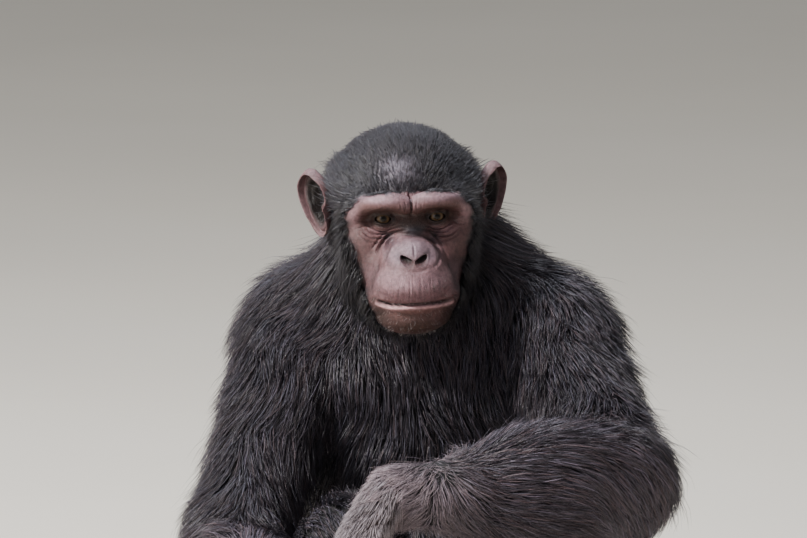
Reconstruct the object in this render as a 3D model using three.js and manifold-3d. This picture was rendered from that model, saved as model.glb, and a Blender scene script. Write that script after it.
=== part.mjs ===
// A seated chimpanzee, life size, as a still museum model.
// Units are millimetres. +X is the animal's left, -Y is the way it faces and +Z is up.
// The origin is the middle of the seat, on the floor.
import * as THREE from "three";
import { mergeVertices } from "three/addons/utils/BufferGeometryUtils.js";
import Module from "manifold-3d";

const wasm = await Module();
wasm.setup();

// Bone lengths, joint to joint
const UPPER_ARM = 265;
const FOREARM = 240;
const PALM = 84;
const FINGER = [42, 30, 22];
const THUMB = [30, 24];
const THIGH = 262;
const SHANK = 225;
const TOE = [26, 18, 14];
const BIG_TOE = [34, 28];

// Heights and widths of the seated body
const EYE_HEIGHT = 566;
const SHOULDER_HEIGHT = 448;
const SHOULDER_HALF = 114;
const SHOULDER_TURN = -12;
const HIP_HEIGHT = 98;
const HIP_HALF = 76;
const EYE_RADIUS = 11;

// How the parts meet, and how much of the coat's depth is solid under the locks
const GAP = 0.3;
const CORE_SHARE = 0.5;

// Coat depth over the skin
const COAT = {
  head: 12,
  neck: 16,
  torso: 18,
  upperArm: 17,
  forearm: 9,
  hand: 2,
  thigh: 13,
  shank: 8,
  foot: 1,
};

const at = (x, y, z) => new THREE.Vector3(x, y, z);
const reach = (from, towards, length) => towards.clone().setLength(length).add(from);
const radians = THREE.MathUtils.degToRad;
const UP = at(0, 0, 1);

// Joints of the skeleton
const shoulderMid = at(-4, 22, SHOULDER_HEIGHT);
const shoulderLine = at(SHOULDER_HALF, 0, 0).applyAxisAngle(UP, radians(SHOULDER_TURN));
const joints = {
  left: {
    shoulder: shoulderMid.clone().add(shoulderLine),
    hip: at(HIP_HALF, 0, HIP_HEIGHT),
  },
  right: {
    shoulder: shoulderMid.clone().sub(shoulderLine),
    hip: at(6 - HIP_HALF, 10, HIP_HEIGHT),
  },
};
joints.left.elbow = reach(joints.left.shoulder, at(70, -212, -112), UPPER_ARM);
joints.left.wrist = reach(joints.left.elbow, at(-216, -84, 3), FOREARM);
joints.right.elbow = reach(joints.right.shoulder, at(-66, -168, -186), UPPER_ARM);
joints.right.wrist = reach(joints.right.elbow, at(30, -187, -146), FOREARM);
joints.left.knee = reach(joints.left.hip, at(20, -205, 170), THIGH);
joints.right.knee = reach(joints.right.hip, at(-2, -205, 170), THIGH);
joints.left.ankle = reach(joints.left.knee, at(-10, -97, -205), SHANK);
joints.right.ankle = reach(joints.right.knee, at(20, -97, -205), SHANK);

// A limb is an oval tube with round ends. Each station is a centre, the half width of the
// skin along `side` and its half depth across it. The coat is added all round.
function limb(stations, side, coat) {
  const cover = coat * CORE_SHARE;
  const centres = new THREE.CatmullRomCurve3(
    stations.map((s) => s[0]),
    false,
    "centripetal",
  );
  const sizes = new THREE.CatmullRomCurve3(
    stations.map((s) => at(s[1] + cover, s[2] + cover, 0)),
    false,
    "catmullrom",
  );
  return { centres, sizes, side, coat, length: centres.getLength() };
}

// The oval at a share t of the limb's length. Beyond its ends the last oval is carried on.
function section(part, t) {
  const u = THREE.MathUtils.clamp(t, 0, 1);
  const along = part.centres.getTangent(u);
  const centre = part.centres.getPoint(u).addScaledVector(along, (t - u) * part.length);
  const size = part.sizes.getPoint(u);
  const side = part.side.clone().addScaledVector(along, -part.side.dot(along)).normalize();
  const front = along.clone().cross(side);
  return { centre, along, side, front, a: size.x, b: size.y };
}

// A point on a section's oval, drawn out by `grow`
function rimPoint(cut, angle, grow, share = 1) {
  return cut.centre
    .clone()
    .addScaledVector(cut.side, (cut.a + grow) * share * Math.cos(angle))
    .addScaledVector(cut.front, (cut.b + grow) * share * Math.sin(angle));
}

// Joins rings of equal count, with a pole point at each end, into one closed skin. On a
// mirrored skin the second half of each ring is split like the first one seen in a mirror.
function closedSkin(startPole, rings, endPole, mirrored = false) {
  const sides = rings[0].length;
  const points = [startPole, ...rings.flat(), endPole];
  const last = points.length - 1;
  const triangles = [];
  for (let i = 0; i < sides; i++) {
    const j = (i + 1) % sides;
    triangles.push(0, 1 + j, 1 + i);
    for (let r = 0; r + 1 < rings.length; r++) {
      const low = 1 + r * sides;
      const high = low + sides;
      if (mirrored && i >= sides / 2) {
        triangles.push(low + i, low + j, high + i, low + j, high + j, high + i);
      } else {
        triangles.push(low + i, low + j, high + j, low + i, high + j, high + i);
      }
    }
    const top = last - sides;
    triangles.push(top + i, top + j, last);
  }
  return new THREE.BufferGeometry().setFromPoints(points).setIndex(triangles);
}

const CAP_ROUND = 0.75;

function limbGeometry(part, sides, rings, grow = 0) {
  const spread = (cut, reachOut, share) => {
    const capped = { ...cut, centre: cut.centre.clone().addScaledVector(cut.along, reachOut) };
    return Array.from({ length: sides }, (_, i) =>
      rimPoint(capped, (i / sides) * 2 * Math.PI, grow, share),
    );
  };
  const first = section(part, 0);
  const end = section(part, 1);
  const startCap = CAP_ROUND * Math.min(first.a, first.b) + grow;
  const endCap = CAP_ROUND * Math.min(end.a, end.b) + grow;
  const list = [spread(first, -startCap * Math.SQRT1_2, Math.SQRT1_2)];
  for (let k = 0; k < rings; k++) {
    list.push(spread(section(part, k / (rings - 1)), 0, 1));
  }
  list.push(spread(end, endCap * Math.SQRT1_2, Math.SQRT1_2));
  return closedSkin(
    first.centre.clone().addScaledVector(first.along, -startCap),
    list,
    end.centre.clone().addScaledVector(end.along, endCap),
  );
}

// Turns a closed geometry into a manifold solid, with its faces pointing out.
function solid(geometry) {
  const plain = new THREE.BufferGeometry();
  plain.setAttribute("position", geometry.getAttribute("position"));
  plain.setIndex(geometry.index);
  const merged = mergeVertices(plain, 1e-4);
  const vertProperties = merged.attributes.position.array;
  const triVerts = new Uint32Array(merged.index.array);
  const made = new wasm.Manifold(new wasm.Mesh({ numProp: 3, vertProperties, triVerts }));
  if (made.volume() > 0) return made;
  for (let i = 0; i < triVerts.length; i += 3) {
    [triVerts[i + 1], triVerts[i + 2]] = [triVerts[i + 2], triVerts[i + 1]];
  }
  return new wasm.Manifold(new wasm.Mesh({ numProp: 3, vertProperties, triVerts }));
}

const join = (solids) => solids.reduce((whole, one) => whole.add(one));
const cut = (whole, tools) => tools.reduce((left, tool) => left.subtract(tool), whole);

// The largest closed piece of a solid
function largest(whole) {
  const pieces = whole.decompose();
  pieces.sort((p, q) => q.volume() - p.volume());
  return pieces[0];
}

const FLOOR_SIZE = 3000;
const floor = solid(
  new THREE.BoxGeometry(FLOOR_SIZE, FLOOR_SIZE, FLOOR_SIZE).translate(0, 0, -FLOOR_SIZE / 2),
);

// Torso, from the seat up to the base of the neck
const turned = at(1, 0, 0).applyAxisAngle(UP, radians(SHOULDER_TURN / 2));
const torso = limb(
  [
    [at(2, 12, 46), 102, 82],
    [at(2, 18, 90), 126, 102],
    [at(2, 24, 150), 128, 106],
    [at(0, 30, 220), 124, 104],
    [at(-2, 32, 300), 130, 102],
    [at(-4, 28, 370), 137, 98],
    [at(-6, 20, 425), 136, 88],
    [at(-9, 12, 466), 122, 75],
  ],
  turned,
  COAT.torso,
);

// Neck, spreading from the head down onto the shoulders
const neck = limb(
  [
    [at(-12, 11, 482), 116, 68],
    [at(-14, 6, 504), 100, 65],
    [at(-18, -1, 532), 78, 62],
    [at(-22, -2, 560), 62, 57],
  ],
  turned,
  COAT.neck,
);

// Arms and legs: each station sits a share of the way along its bone.
function boned(start, end, stations, side, coat) {
  return limb(
    stations.map(([share, a, b]) => [start.clone().lerp(end, share), a, b]),
    side,
    coat,
  );
}

const UPPER_ARM_FORM = [
  [0, 50, 50],
  [0.2, 50, 52],
  [0.5, 44, 47],
  [0.8, 40, 42],
  [1, 37, 39],
];
const FOREARM_FORM = [
  [0, 40, 39],
  [0.2, 46, 43],
  [0.45, 44, 39],
  [0.75, 32, 29],
  [1, 22, 20],
];
const THIGH_FORM = [
  [0, 66, 70],
  [0.3, 64, 66],
  [0.65, 54, 54],
  [1, 44, 43],
];
const SHANK_FORM = [
  [0, 42, 42],
  [0.25, 41, 42],
  [0.55, 35, 36],
  [0.85, 26, 27],
  [1, 25, 26],
];

const limbs = {};
for (const [name, j] of Object.entries(joints)) {
  const across = at(1, 0, 0);
  limbs[name] = {
    upperArm: boned(j.shoulder, j.elbow, UPPER_ARM_FORM, across, COAT.upperArm),
    forearm: boned(j.elbow, j.wrist, FOREARM_FORM, UP, COAT.forearm),
    thigh: boned(j.hip, j.knee, THIGH_FORM, across, COAT.thigh),
    shank: boned(j.knee, j.ankle, SHANK_FORM, across, COAT.shank),
  };
}

// A finger or toe: bones that turn by `bends` degrees about the hinge, one after another
function digit(root, direction, hinge, bones, bends, radius, coat) {
  const way = direction.clone().normalize();
  const stations = [[root, radius, radius]];
  let place = root;
  bones.forEach((bone, i) => {
    way.applyAxisAngle(hinge, radians(bends[i]));
    place = reach(place, way, bone);
    const slim = radius * (1 - 0.1 * (i + 1));
    stations.push([place, slim, slim]);
  });
  return limb(stations, hinge, coat);
}

const DIGIT_SIDES = 6;
const DIGIT_RINGS = 4;
const FINGER_RADIUS = 9.2;
const KNUCKLE_PLACES = [-29, -10, 9, 27];
const FINGER_SHARES = [0.9, 1, 1.03, 0.9];

// A hand hangs from the wrist. `down` runs to the knuckles, `across` to the thumb's side and
// the hinge turns the fingers towards the palm.
function hand(wrist, down, across, bends, thumbBends, grow = 0) {
  const way = down.clone().normalize();
  const edge = across.clone().addScaledVector(way, -across.dot(way)).normalize();
  const palm = limb(
    [
      [reach(wrist, way, -14), 25, 20],
      [wrist.clone(), 26, 19],
      [reach(wrist, way, PALM * 0.5), 36, 17],
      [reach(wrist, way, PALM * 0.9), 38, 14],
    ],
    edge,
    COAT.hand,
  );
  const pieces = [limbGeometry(palm, 10, 6, grow)];
  KNUCKLE_PLACES.forEach((offset, i) => {
    const root = reach(wrist, way, PALM * 0.86).addScaledVector(edge, offset);
    const fan = way.clone().addScaledVector(edge, offset * 0.002);
    const bones = FINGER.map((bone) => bone * FINGER_SHARES[i]);
    const finger = digit(root, fan, edge, bones, bends, FINGER_RADIUS, COAT.hand / 2);
    pieces.push(limbGeometry(finger, DIGIT_SIDES, DIGIT_RINGS, grow));
  });
  const thumbRoot = reach(wrist, way, PALM * 0.28).addScaledVector(edge, 24);
  const thumbWay = way.clone().addScaledVector(edge, 0.75);
  const thumb = digit(thumbRoot, thumbWay, edge, THUMB, thumbBends, 9, 0);
  pieces.push(limbGeometry(thumb, DIGIT_SIDES, 4, grow));
  return join(pieces.map(solid));
}

const TOE_PLACES = [-27, -10, 7, 23];
const TOE_SHARES = [0.85, 0.95, 1, 1];

// A foot stands flat. `ahead` runs to the toes and `inward` to the big toe's side.
function foot(ankle, ahead, inward, grow = 0) {
  const onFloor = (forward, sideways, height) =>
    at(ankle.x, ankle.y, height)
      .addScaledVector(ahead, forward)
      .addScaledVector(inward, sideways);
  const sole = limb(
    [
      [onFloor(-34, -2, 23), 22, 24],
      [onFloor(-8, -1, 28), 26, 29],
      [onFloor(40, 0, 24), 32, 25],
      [onFloor(92, 0, 15), 40, 17],
      [onFloor(112, -1, 11), 36, 13],
    ],
    inward,
    COAT.foot,
  );
  const instep = limb(
    [
      [onFloor(-6, 0, 78), 25, 27],
      [onFloor(0, 0, 56), 26, 29],
      [onFloor(14, 0, 34), 27, 30],
    ],
    inward,
    COAT.foot,
  );
  const pieces = [limbGeometry(sole, 10, 6, grow), limbGeometry(instep, 10, 3, grow)];
  TOE_PLACES.forEach((offset, i) => {
    const root = onFloor(106, offset, 10);
    const fan = ahead.clone().addScaledVector(inward, offset * 0.003);
    const bones = TOE.map((bone) => bone * TOE_SHARES[i]);
    const toe = digit(root, fan, inward, bones, [0, 0, 0], 9.2, 0);
    pieces.push(limbGeometry(toe, DIGIT_SIDES, 3, grow));
  });
  const bigWay = ahead.clone().addScaledVector(inward, 0.8);
  const bigToe = digit(onFloor(44, 24, 13), bigWay, inward, BIG_TOE, [0, 0], 12.5, 0);
  pieces.push(limbGeometry(bigToe, 8, 4, grow));
  return join(pieces.map(solid));
}

// The head in its own frame: origin between the ear holes at eye level, -y to the front.
// Each form is a centre and three half sizes, and one with a side is made on both sides.
const HEAD_FORMS = [
  { name: "braincase", centre: [0, 14, 12], half: [67, 75, 60] },
  { name: "head base", centre: [0, 22, -26], half: [56, 50, 46] },
  { name: "middle face", centre: [0, -34, -16], half: [57, 36, 42] },
  { name: "temple", centre: [42, -40, 6], half: [16, 24, 20], both: true },
  { name: "outer orbit", centre: [51, -53, -4], half: [7, 10, 18], both: true },
  { name: "cheekbone", centre: [40, -54, -24], half: [20, 19, 17], both: true },
  { name: "inner orbit", centre: [9, -66, -4], half: [8, 11, 16], both: true },
  { name: "nose bridge", centre: [0, -70, -12], half: [9, 12, 17] },
  { name: "nose", centre: [0, -88, -29], half: [20, 14, 12] },
  { name: "nose tip", centre: [0, -98, -27], half: [9, 8, 7] },
  { name: "cheek", centre: [32, -48, -44], half: [22, 30, 26], both: true },
  { name: "muzzle", centre: [0, -76, -51], half: [40, 44, 29] },
  { name: "upper lip", centre: [0, -88, -60], half: [35, 35, 12] },
  { name: "lower lip", centre: [0, -82, -79], half: [36, 32, 8.5] },
  { name: "chin", centre: [0, -70, -89], half: [37, 40, 21.5] },
  { name: "mouth corner", centre: [32, -76, -70], half: [12, 24, 14], both: true },
  { name: "jaw", centre: [38, -22, -54], half: [20, 40, 32], both: true },
];
// The roll over each eye and down its outer side: x, y, z and how thick it is
const BROW = [
  [4, -79, 13.5, 7.6],
  [13, -80.5, 16.5, 8.8],
  [23, -79.5, 17.5, 9],
  [33, -75, 16, 8.6],
  [42, -68, 12, 8],
  [49, -61, 6, 7.3],
  [53.5, -55, -2, 6.5],
  [55, -52, -11, 6],
];
const BROW_FLATNESS = 0.86;
const BLEND = 11;
const LID_THICKNESS = 2.2;
const LID_BLEND = 3;
const EYE_CENTRE = at(25.4, -61, 0);

for (const [x, y, z, r] of BROW) {
  HEAD_FORMS.push({
    name: "brow roll",
    centre: [x, y, z],
    half: [r, r, r * BROW_FLATNESS],
    both: true,
  });
}

// Distance to an ellipsoid, near enough for blending
function toForm(p, form, grow) {
  const [cx, cy, cz] = form.centre;
  const q = at(form.both ? Math.abs(p.x) - cx : p.x - cx, p.y - cy, p.z - cz);
  const [a, b, c] = form.half.map((h) => h + grow);
  const once = Math.hypot(q.x / a, q.y / b, q.z / c);
  const twice = Math.hypot(q.x / (a * a), q.y / (b * b), q.z / (c * c));
  return twice < 1e-9 ? -Math.min(a, b, c) : (once * (once - 1)) / twice;
}

function blend(p, q, width) {
  const near = Math.max(width - Math.abs(p - q), 0) / width;
  return Math.min(p, q) - (near * near * width) / 4;
}

// The bare face has no coat: the cover fades in behind and above it.
function coatShare(p) {
  const behind = THREE.MathUtils.smoothstep(p.y, -62, -38);
  const above = THREE.MathUtils.smoothstep(p.z, 26, 40);
  return Math.max(behind, above);
}

function headDistance(p) {
  const cover = COAT.head * CORE_SHARE * coatShare(p);
  const skin = HEAD_FORMS.map((form) => toForm(p, form, 0)).reduce((m, d) => blend(m, d, BLEND));
  const eye = at(Math.abs(p.x), p.y, p.z).distanceTo(EYE_CENTRE);
  return blend(skin - cover, eye - EYE_RADIUS - LID_THICKNESS, LID_BLEND);
}

const HEAD_MIDDLE = at(0, -22, -14);
const HEAD_LOOPS = 42;
const HEAD_ROWS = 30;
const FRONT_CROWDING = 0.56;

// The head's skin along a ray from its middle
function headPoint(direction, grow) {
  let inside = 0;
  let outside = 160;
  for (let r = outside; r > 10; r -= 2.5) {
    if (headDistance(HEAD_MIDDLE.clone().addScaledVector(direction, r)) < 0) {
      inside = r;
      break;
    }
    outside = r;
  }
  for (let i = 0; i < 14; i++) {
    const middle = (inside + outside) / 2;
    const d = headDistance(HEAD_MIDDLE.clone().addScaledVector(direction, middle));
    if (d < 0) inside = middle;
    else outside = middle;
  }
  return HEAD_MIDDLE.clone().addScaledVector(direction, inside + grow);
}

// Rings from under the jaw to the crown, crowded together over the face
function headGeometry(grow = 0) {
  const rings = [];
  for (let r = 1; r < HEAD_ROWS; r++) {
    const v = (r / HEAD_ROWS) * 2 - 1;
    const lift = (v + (FRONT_CROWDING * Math.sin(Math.PI * v)) / Math.PI / -1.6) * (Math.PI / 2);
    const ring = [];
    for (let i = 0; i < HEAD_LOOPS; i++) {
      const u = (i / HEAD_LOOPS) * 2 - 1;
      const turn = (u - (FRONT_CROWDING * Math.sin(Math.PI * u)) / Math.PI) * Math.PI;
      const way = at(
        Math.sin(turn) * Math.cos(lift),
        -Math.cos(turn) * Math.cos(lift),
        Math.sin(lift),
      );
      ring.push(headPoint(way, grow));
    }
    rings.push(ring);
  }
  const base = headPoint(at(0, 0, -1), grow);
  const crown = headPoint(at(0, 0, 1), grow);
  return closedSkin(base, rings, crown, true);
}

const HEAD_YAW = 4;
const HEAD_PITCH = 2;
const HEAD_ROLL = -2;
const headPlace = new THREE.Matrix4().compose(
  at(-24, -35, EYE_HEIGHT),
  new THREE.Quaternion().setFromEuler(
    new THREE.Euler(radians(HEAD_PITCH), radians(HEAD_ROLL), radians(HEAD_YAW), "ZYX"),
  ),
  at(1, 1, 1),
);

const EYE_OPENING = { halfWidth: 10.5, halfHeight: 4.8, depth: 40 };
const MOUTH = { halfWidth: 35, height: -75, rise: 2.5, depth: 7, halfOpen: 1.3 };
const NOSTRIL = { side: 8.8, height: -34.5, depth: 9, half: [5.4, 9, 3.4] };

// An almond opening between the lids, drawn out forwards from the eye
function eyeOpening(sign) {
  const { halfWidth, halfHeight, depth } = EYE_OPENING;
  const almond = new THREE.Shape();
  almond.moveTo(-halfWidth, -0.5);
  almond.quadraticCurveTo(0, halfHeight * 2, halfWidth, 0.5);
  almond.quadraticCurveTo(0, -halfHeight * 2, -halfWidth, -0.5);
  const geometry = new THREE.ExtrudeGeometry(almond, {
    depth,
    bevelEnabled: false,
    curveSegments: 6,
  });
  return geometry
    .rotateX(Math.PI / 2)
    .translate(EYE_CENTRE.x * sign, EYE_CENTRE.y, EYE_CENTRE.z);
}

// The line of the mouth: a thin slot that follows the front of the lips
function mouthSlot() {
  const steps = 12;
  const rings = [];
  for (let i = 0; i <= steps; i++) {
    const s = (i / steps) * 2 - 1;
    const x = MOUTH.halfWidth * s;
    const height = MOUTH.height + MOUTH.rise * s * s * s * s;
    const way = at(x, -100, height - HEAD_MIDDLE.z).normalize();
    const skin = headPoint(way, 0);
    const thin = MOUTH.halfOpen * Math.sqrt(Math.max(1 - s * s, 0.02));
    const back = skin.clone().addScaledVector(way, -MOUTH.depth * (1 - 0.6 * s * s));
    const front = skin.clone().addScaledVector(way, 6);
    rings.push([
      front.clone().addScaledVector(UP, thin * 2.2),
      back,
      front.clone().addScaledVector(UP, -thin * 2.2),
    ]);
  }
  const tip = (ring) => ring[0].clone().add(ring[1]).add(ring[2]).divideScalar(3);
  return closedSkin(tip(rings[0]), rings, tip(rings[steps]));
}

function nostril(sign) {
  const [a, b, c] = NOSTRIL.half;
  const place = headPoint(at(NOSTRIL.side * sign, -78, NOSTRIL.height - HEAD_MIDDLE.z).normalize(), 0);
  return new THREE.SphereGeometry(1, 8, 6)
    .scale(a, b, c)
    .rotateY(radians(24 * sign))
    .translate(place.x, place.y + 1, place.z);
}

const EYE_LOOPS = 12;
const EYE_ROWS = 9;

function eyeball(sign, radius) {
  return new THREE.SphereGeometry(radius, EYE_LOOPS, EYE_ROWS)
    .rotateX(Math.PI / 2)
    .translate(EYE_CENTRE.x * sign, EYE_CENTRE.y, EYE_CENTRE.z);
}

// The ear is a shallow cup: rings from the bowl out to the rim and round to the back.
const EAR_HALF_HEIGHT = 33;
const EAR_HALF_WIDTH = 19;
const EAR_PLACE = at(83, 16, 5);
const EAR_OPEN_ANGLE = 51;
const EAR_LEAN = 12;
const EAR_PROFILE = [
  [0.3, -9],
  [0.5, -6],
  [0.62, 0],
  [0.76, 1],
  [0.86, 0],
  [0.93, 5],
  [1, 4],
  [1, 0],
  [0.88, -4],
  [0.66, -8],
  [0.4, -14],
];

function ear(sign) {
  const loops = 14;
  const across = at(Math.cos(radians(EAR_OPEN_ANGLE)), Math.sin(radians(EAR_OPEN_ANGLE)), 0);
  const outward = at(across.y, -across.x, 0);
  const place = (u, w, n) => {
    const p = EAR_PLACE.clone()
      .addScaledVector(across, u + w * Math.tan(radians(EAR_LEAN)))
      .addScaledVector(UP, w)
      .addScaledVector(outward, n);
    return at(p.x * sign, p.y, p.z);
  };
  const rings = EAR_PROFILE.map(([share, n]) =>
    Array.from({ length: loops }, (_, i) => {
      const angle = (i / loops) * 2 * Math.PI;
      const lobe = 1 - 0.16 * Math.max(-Math.sin(angle), 0);
      const shift = (1 - share) * 5;
      return place(
        EAR_HALF_WIDTH * share * lobe * Math.cos(angle) - shift,
        EAR_HALF_HEIGHT * share * Math.sin(angle),
        n,
      );
    }),
  );
  return closedSkin(place(-5, 0, -10), rings, place(-5, 0, -16));
}

// Even numbers between -1 and 1, the same on every run
let seed = 61;
function wobble() {
  seed = (seed * 16807) % 2147483647;
  return (seed / 2147483647) * 2 - 1;
}

// A lock of the coat is a low ridge that is sunk at its root and pointed at its tip.
// `place` gives the spot over the surface at a share s of the lock's length.
const LOCK_SINK = 7;
const LOCK_BODY = [
  { s: 0.34, share: 1 },
  { s: 0.7, share: 0.7 },
];
const LOCK_END = 1;

const heightOf = (lock, s) => (LOCK_SINK + lock.lift) * s - LOCK_SINK;

function lockGeometry(lock, grow) {
  const spot = (s) => lock.place(s, heightOf(lock, s));
  const rings = LOCK_BODY.map(({ s, share }) => {
    const { point, across, out } = spot(s);
    const half = (lock.width * share) / 2 + grow * 3;
    const ridge = (lock.thickness * share) / 2 + grow * 2;
    const under = (lock.thickness * share) / -4 - grow;
    return [
      point.clone().addScaledVector(across, half).addScaledVector(out, under),
      point.clone().addScaledVector(out, ridge),
      point.clone().addScaledVector(across, -half).addScaledVector(out, under),
    ];
  });
  const slack = grow * 0.05;
  return closedSkin(spot(-slack).point, rings, spot(LOCK_END + slack).point);
}

// Places a lock along a limb: `way` is 1 towards the limb's end and -1 towards its start.
function alongLimb(part, t, angle, way, length, sweep) {
  return (s, height) => {
    const here = section(part, t + (way * s * length) / part.length);
    const turn = angle + sweep * s;
    const point = rimPoint(here, turn, height);
    const out = rimPoint(here, turn, height + 1).sub(point).normalize();
    const across = here.along.clone().cross(out).normalize();
    return { point, across, out };
  };
}

const WITHIN_STEPS = 14;

function within(part, point, margin) {
  for (let k = 0; k <= WITHIN_STEPS; k++) {
    const here = section(part, k / WITHIN_STEPS);
    const off = point.clone().sub(here.centre);
    const atEnd = k === 0 || k === WITHIN_STEPS;
    const reachAlong = atEnd ? CAP_ROUND * here.a : part.length / WITHIN_STEPS;
    const share = Math.hypot(
      off.dot(here.side) / (here.a + margin),
      off.dot(here.front) / (here.b + margin),
      atEnd ? off.dot(here.along) / reachAlong : 0,
    );
    if (Math.abs(off.dot(here.along)) <= reachAlong && share < 1) return true;
  }
  return false;
}

const intoHead = headPlace.clone().invert();
const bodies = [torso, neck, ...Object.values(limbs).flatMap((own) => Object.values(own))];
const CLEAR_MARGIN = -3;
const TIP_MARGIN = -24;
const FLOOR_CLEARANCE = 5;
const EAR_CLEARANCE = 38;

// A lock is kept where it lies clear of the ears, the floor and every other part of the body.
// Only its tip may sink into the next part.
function isClear(lock, carrier) {
  const spots = [...LOCK_BODY.map(({ s }) => s), LOCK_END];
  return spots.every((s) => {
    const { point } = lock.place(s, heightOf(lock, s));
    const margin = s === LOCK_END ? TIP_MARGIN : CLEAR_MARGIN;
    const inHead = point.clone().applyMatrix4(intoHead);
    const toEar = at(Math.abs(inHead.x), inHead.y, inHead.z).distanceTo(EAR_PLACE);
    if (point.z < FLOOR_CLEARANCE || toEar < EAR_CLEARANCE) return false;
    if (carrier !== "head" && headDistance(inHead) < margin) return false;
    return bodies.every((body) => body === carrier || !within(body, point, margin));
  });
}

const ROW_SPREAD = 1.25;
const SWEEP = 8;

// Tiers of locks round a limb, each tier lying over the roots of the next
function limbLocks(part, { tiers, way, length, width, thickness, lift }) {
  const locks = [];
  tiers.forEach((t, row) => {
    const { a, b } = section(part, t);
    const count = Math.round((Math.PI * (a + b)) / (width * ROW_SPREAD));
    for (let i = 0; i < count; i++) {
      const angle = ((i + (row % 2) / 2 + 0.15 * wobble()) / count) * 2 * Math.PI;
      const own = length * (1 + 0.15 * wobble());
      locks.push({
        place: alongLimb(part, t + 0.02 * wobble(), angle, way, own, (SWEEP / a) * wobble()),
        width: width * (1 + 0.12 * wobble()),
        thickness,
        lift: lift * (1 + 0.3 * wobble()),
      });
    }
  });
  return locks.filter((lock) => isClear(lock, part));
}

const COATS = {
  torso: {
    tiers: [0.95, 0.81, 0.67, 0.53, 0.38, 0.24],
    way: -1,
    length: 116,
    width: 68,
    thickness: 15,
    lift: 16,
  },
  neck: { tiers: [0.95, 0.6], way: -1, length: 62, width: 50, thickness: 12, lift: 15 },
  upperArm: {
    tiers: [0.04, 0.28, 0.52, 0.76],
    way: 1,
    length: 100,
    width: 49,
    thickness: 13,
    lift: 18,
  },
  forearm: {
    tiers: [0.84, 0.52, 0.2],
    way: -1,
    length: 98,
    width: 43,
    thickness: 10,
    lift: 10,
  },
  thigh: { tiers: [0.2, 0.48, 0.76], way: 1, length: 98, width: 58, thickness: 12, lift: 12 },
  shank: { tiers: [0.14, 0.48], way: 1, length: 88, width: 42, thickness: 9, lift: 8 },
};

// Ruff of the cheeks and nape. Each row is an elevation in degrees and the turns from the front
// at which its locks are rooted, and every lock lies down and back over the head.
const RUFF = [
  { lift: 30, turns: [128, 152, 176] },
  { lift: -12, turns: [66, 80] },
];
const RUFF_LOCK = { length: 44, width: 30, thickness: 9, lift: 9 };
const RUFF_BACK = 0.2;
const HEAD_REACH = 78;

function overHead(turn, elevation, length, sign) {
  const way = (s) => {
    const around = turn + RUFF_BACK * s;
    const up = elevation - (length * s) / HEAD_REACH;
    return at(
      sign * Math.sin(around) * Math.cos(up),
      -Math.cos(around) * Math.cos(up),
      Math.sin(up),
    );
  };
  return (s, height) => {
    const out = way(s);
    const along = way(s + 0.01).sub(out).normalize();
    const point = headPoint(out, height).applyMatrix4(headPlace);
    const across = along.cross(out).transformDirection(headPlace);
    return { point, across, out: out.transformDirection(headPlace) };
  };
}

const ruff = RUFF.flatMap(({ lift, turns }) =>
  turns.flatMap((turn) =>
    [1, -1].map((sign) => ({
      ...RUFF_LOCK,
      place: overHead(radians(turn), radians(lift), RUFF_LOCK.length, sign),
    })),
  ),
).filter((lock) => isClear(lock, "head"));

const inPlace = (geometry) => solid(geometry.applyMatrix4(headPlace));
const withLocks = (core, locks, grow) =>
  join([core, ...locks.map((lock) => solid(lockGeometry(lock, grow)))]);

const mouthAndNose = [mouthSlot(), nostril(1), nostril(-1)];
const eyeTools = [1, -1].flatMap((sign) => [eyeball(sign, EYE_RADIUS + GAP), eyeOpening(sign)]);
const openings = [...mouthAndNose, ...eyeTools].map(inPlace);

const LIMB_SIDES = 12;
const LIMB_RINGS = 5;
const NECK_SIDES = 16;
const TORSO_SIDES = 16;
const TORSO_RINGS = 8;

const HANDS = {
  left: {
    down: at(-52, -30, -86),
    across: at(-30, 90, -10),
    bends: [-18, -26, -18],
    thumb: [-10, -14],
  },
  right: {
    down: at(4, -14, -78),
    across: at(90, 10, 0),
    bends: [-18, 118, 58],
    thumb: [10, 10],
  },
};
const FEET = {
  left: { ahead: at(0.12, -1, 0), inward: at(-1, -0.12, 0) },
  right: { ahead: at(0.04, -1, 0), inward: at(1, 0.04, 0) },
};

// Each form is made whole, and what is placed later is cut by the forms before it, drawn out
// by the gap. A twisted lock can leave its drawn out copy, so the form itself is added too.
const nodes = {};
let taken = floor;

function place(name, form, openedBy = []) {
  const plain = form(0);
  nodes[name] = largest(cut(plain, [taken, ...openedBy]));
  taken = join([taken, plain, form(GAP)]);
}

function placeLimb(name, part, coat, sides = LIMB_SIDES, rings = LIMB_RINGS) {
  const locks = limbLocks(part, coat);
  place(name, (grow) => withLocks(solid(limbGeometry(part, sides, rings, grow)), locks, grow));
}

placeLimb("torso", torso, COATS.torso, TORSO_SIDES, TORSO_RINGS);
placeLimb("neck", neck, COATS.neck, NECK_SIDES);
place("head", (grow) => withLocks(inPlace(headGeometry(grow * 1.5)), ruff, grow), openings);
for (const kind of ["upperArm", "thigh", "shank", "forearm"]) {
  for (const [name, own] of Object.entries(limbs)) {
    placeLimb(`${kind.replace("A", "_a")}_${name}`, own[kind], COATS[kind]);
  }
}
for (const [name, j] of Object.entries(joints)) {
  const { down, across, bends, thumb } = HANDS[name];
  const { ahead, inward } = FEET[name];
  place(`hand_${name}`, (grow) => hand(j.wrist, down, across, bends, thumb, grow));
  place(`foot_${name}`, (grow) => foot(j.ankle, ahead.normalize(), inward.normalize(), grow));
}
for (const [name, sign] of [["left", 1], ["right", -1]]) {
  nodes[`eye_${name}`] = inPlace(eyeball(sign, EYE_RADIUS));
  nodes[`ear_${name}`] = largest(cut(inPlace(ear(sign)), [taken]));
}

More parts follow.
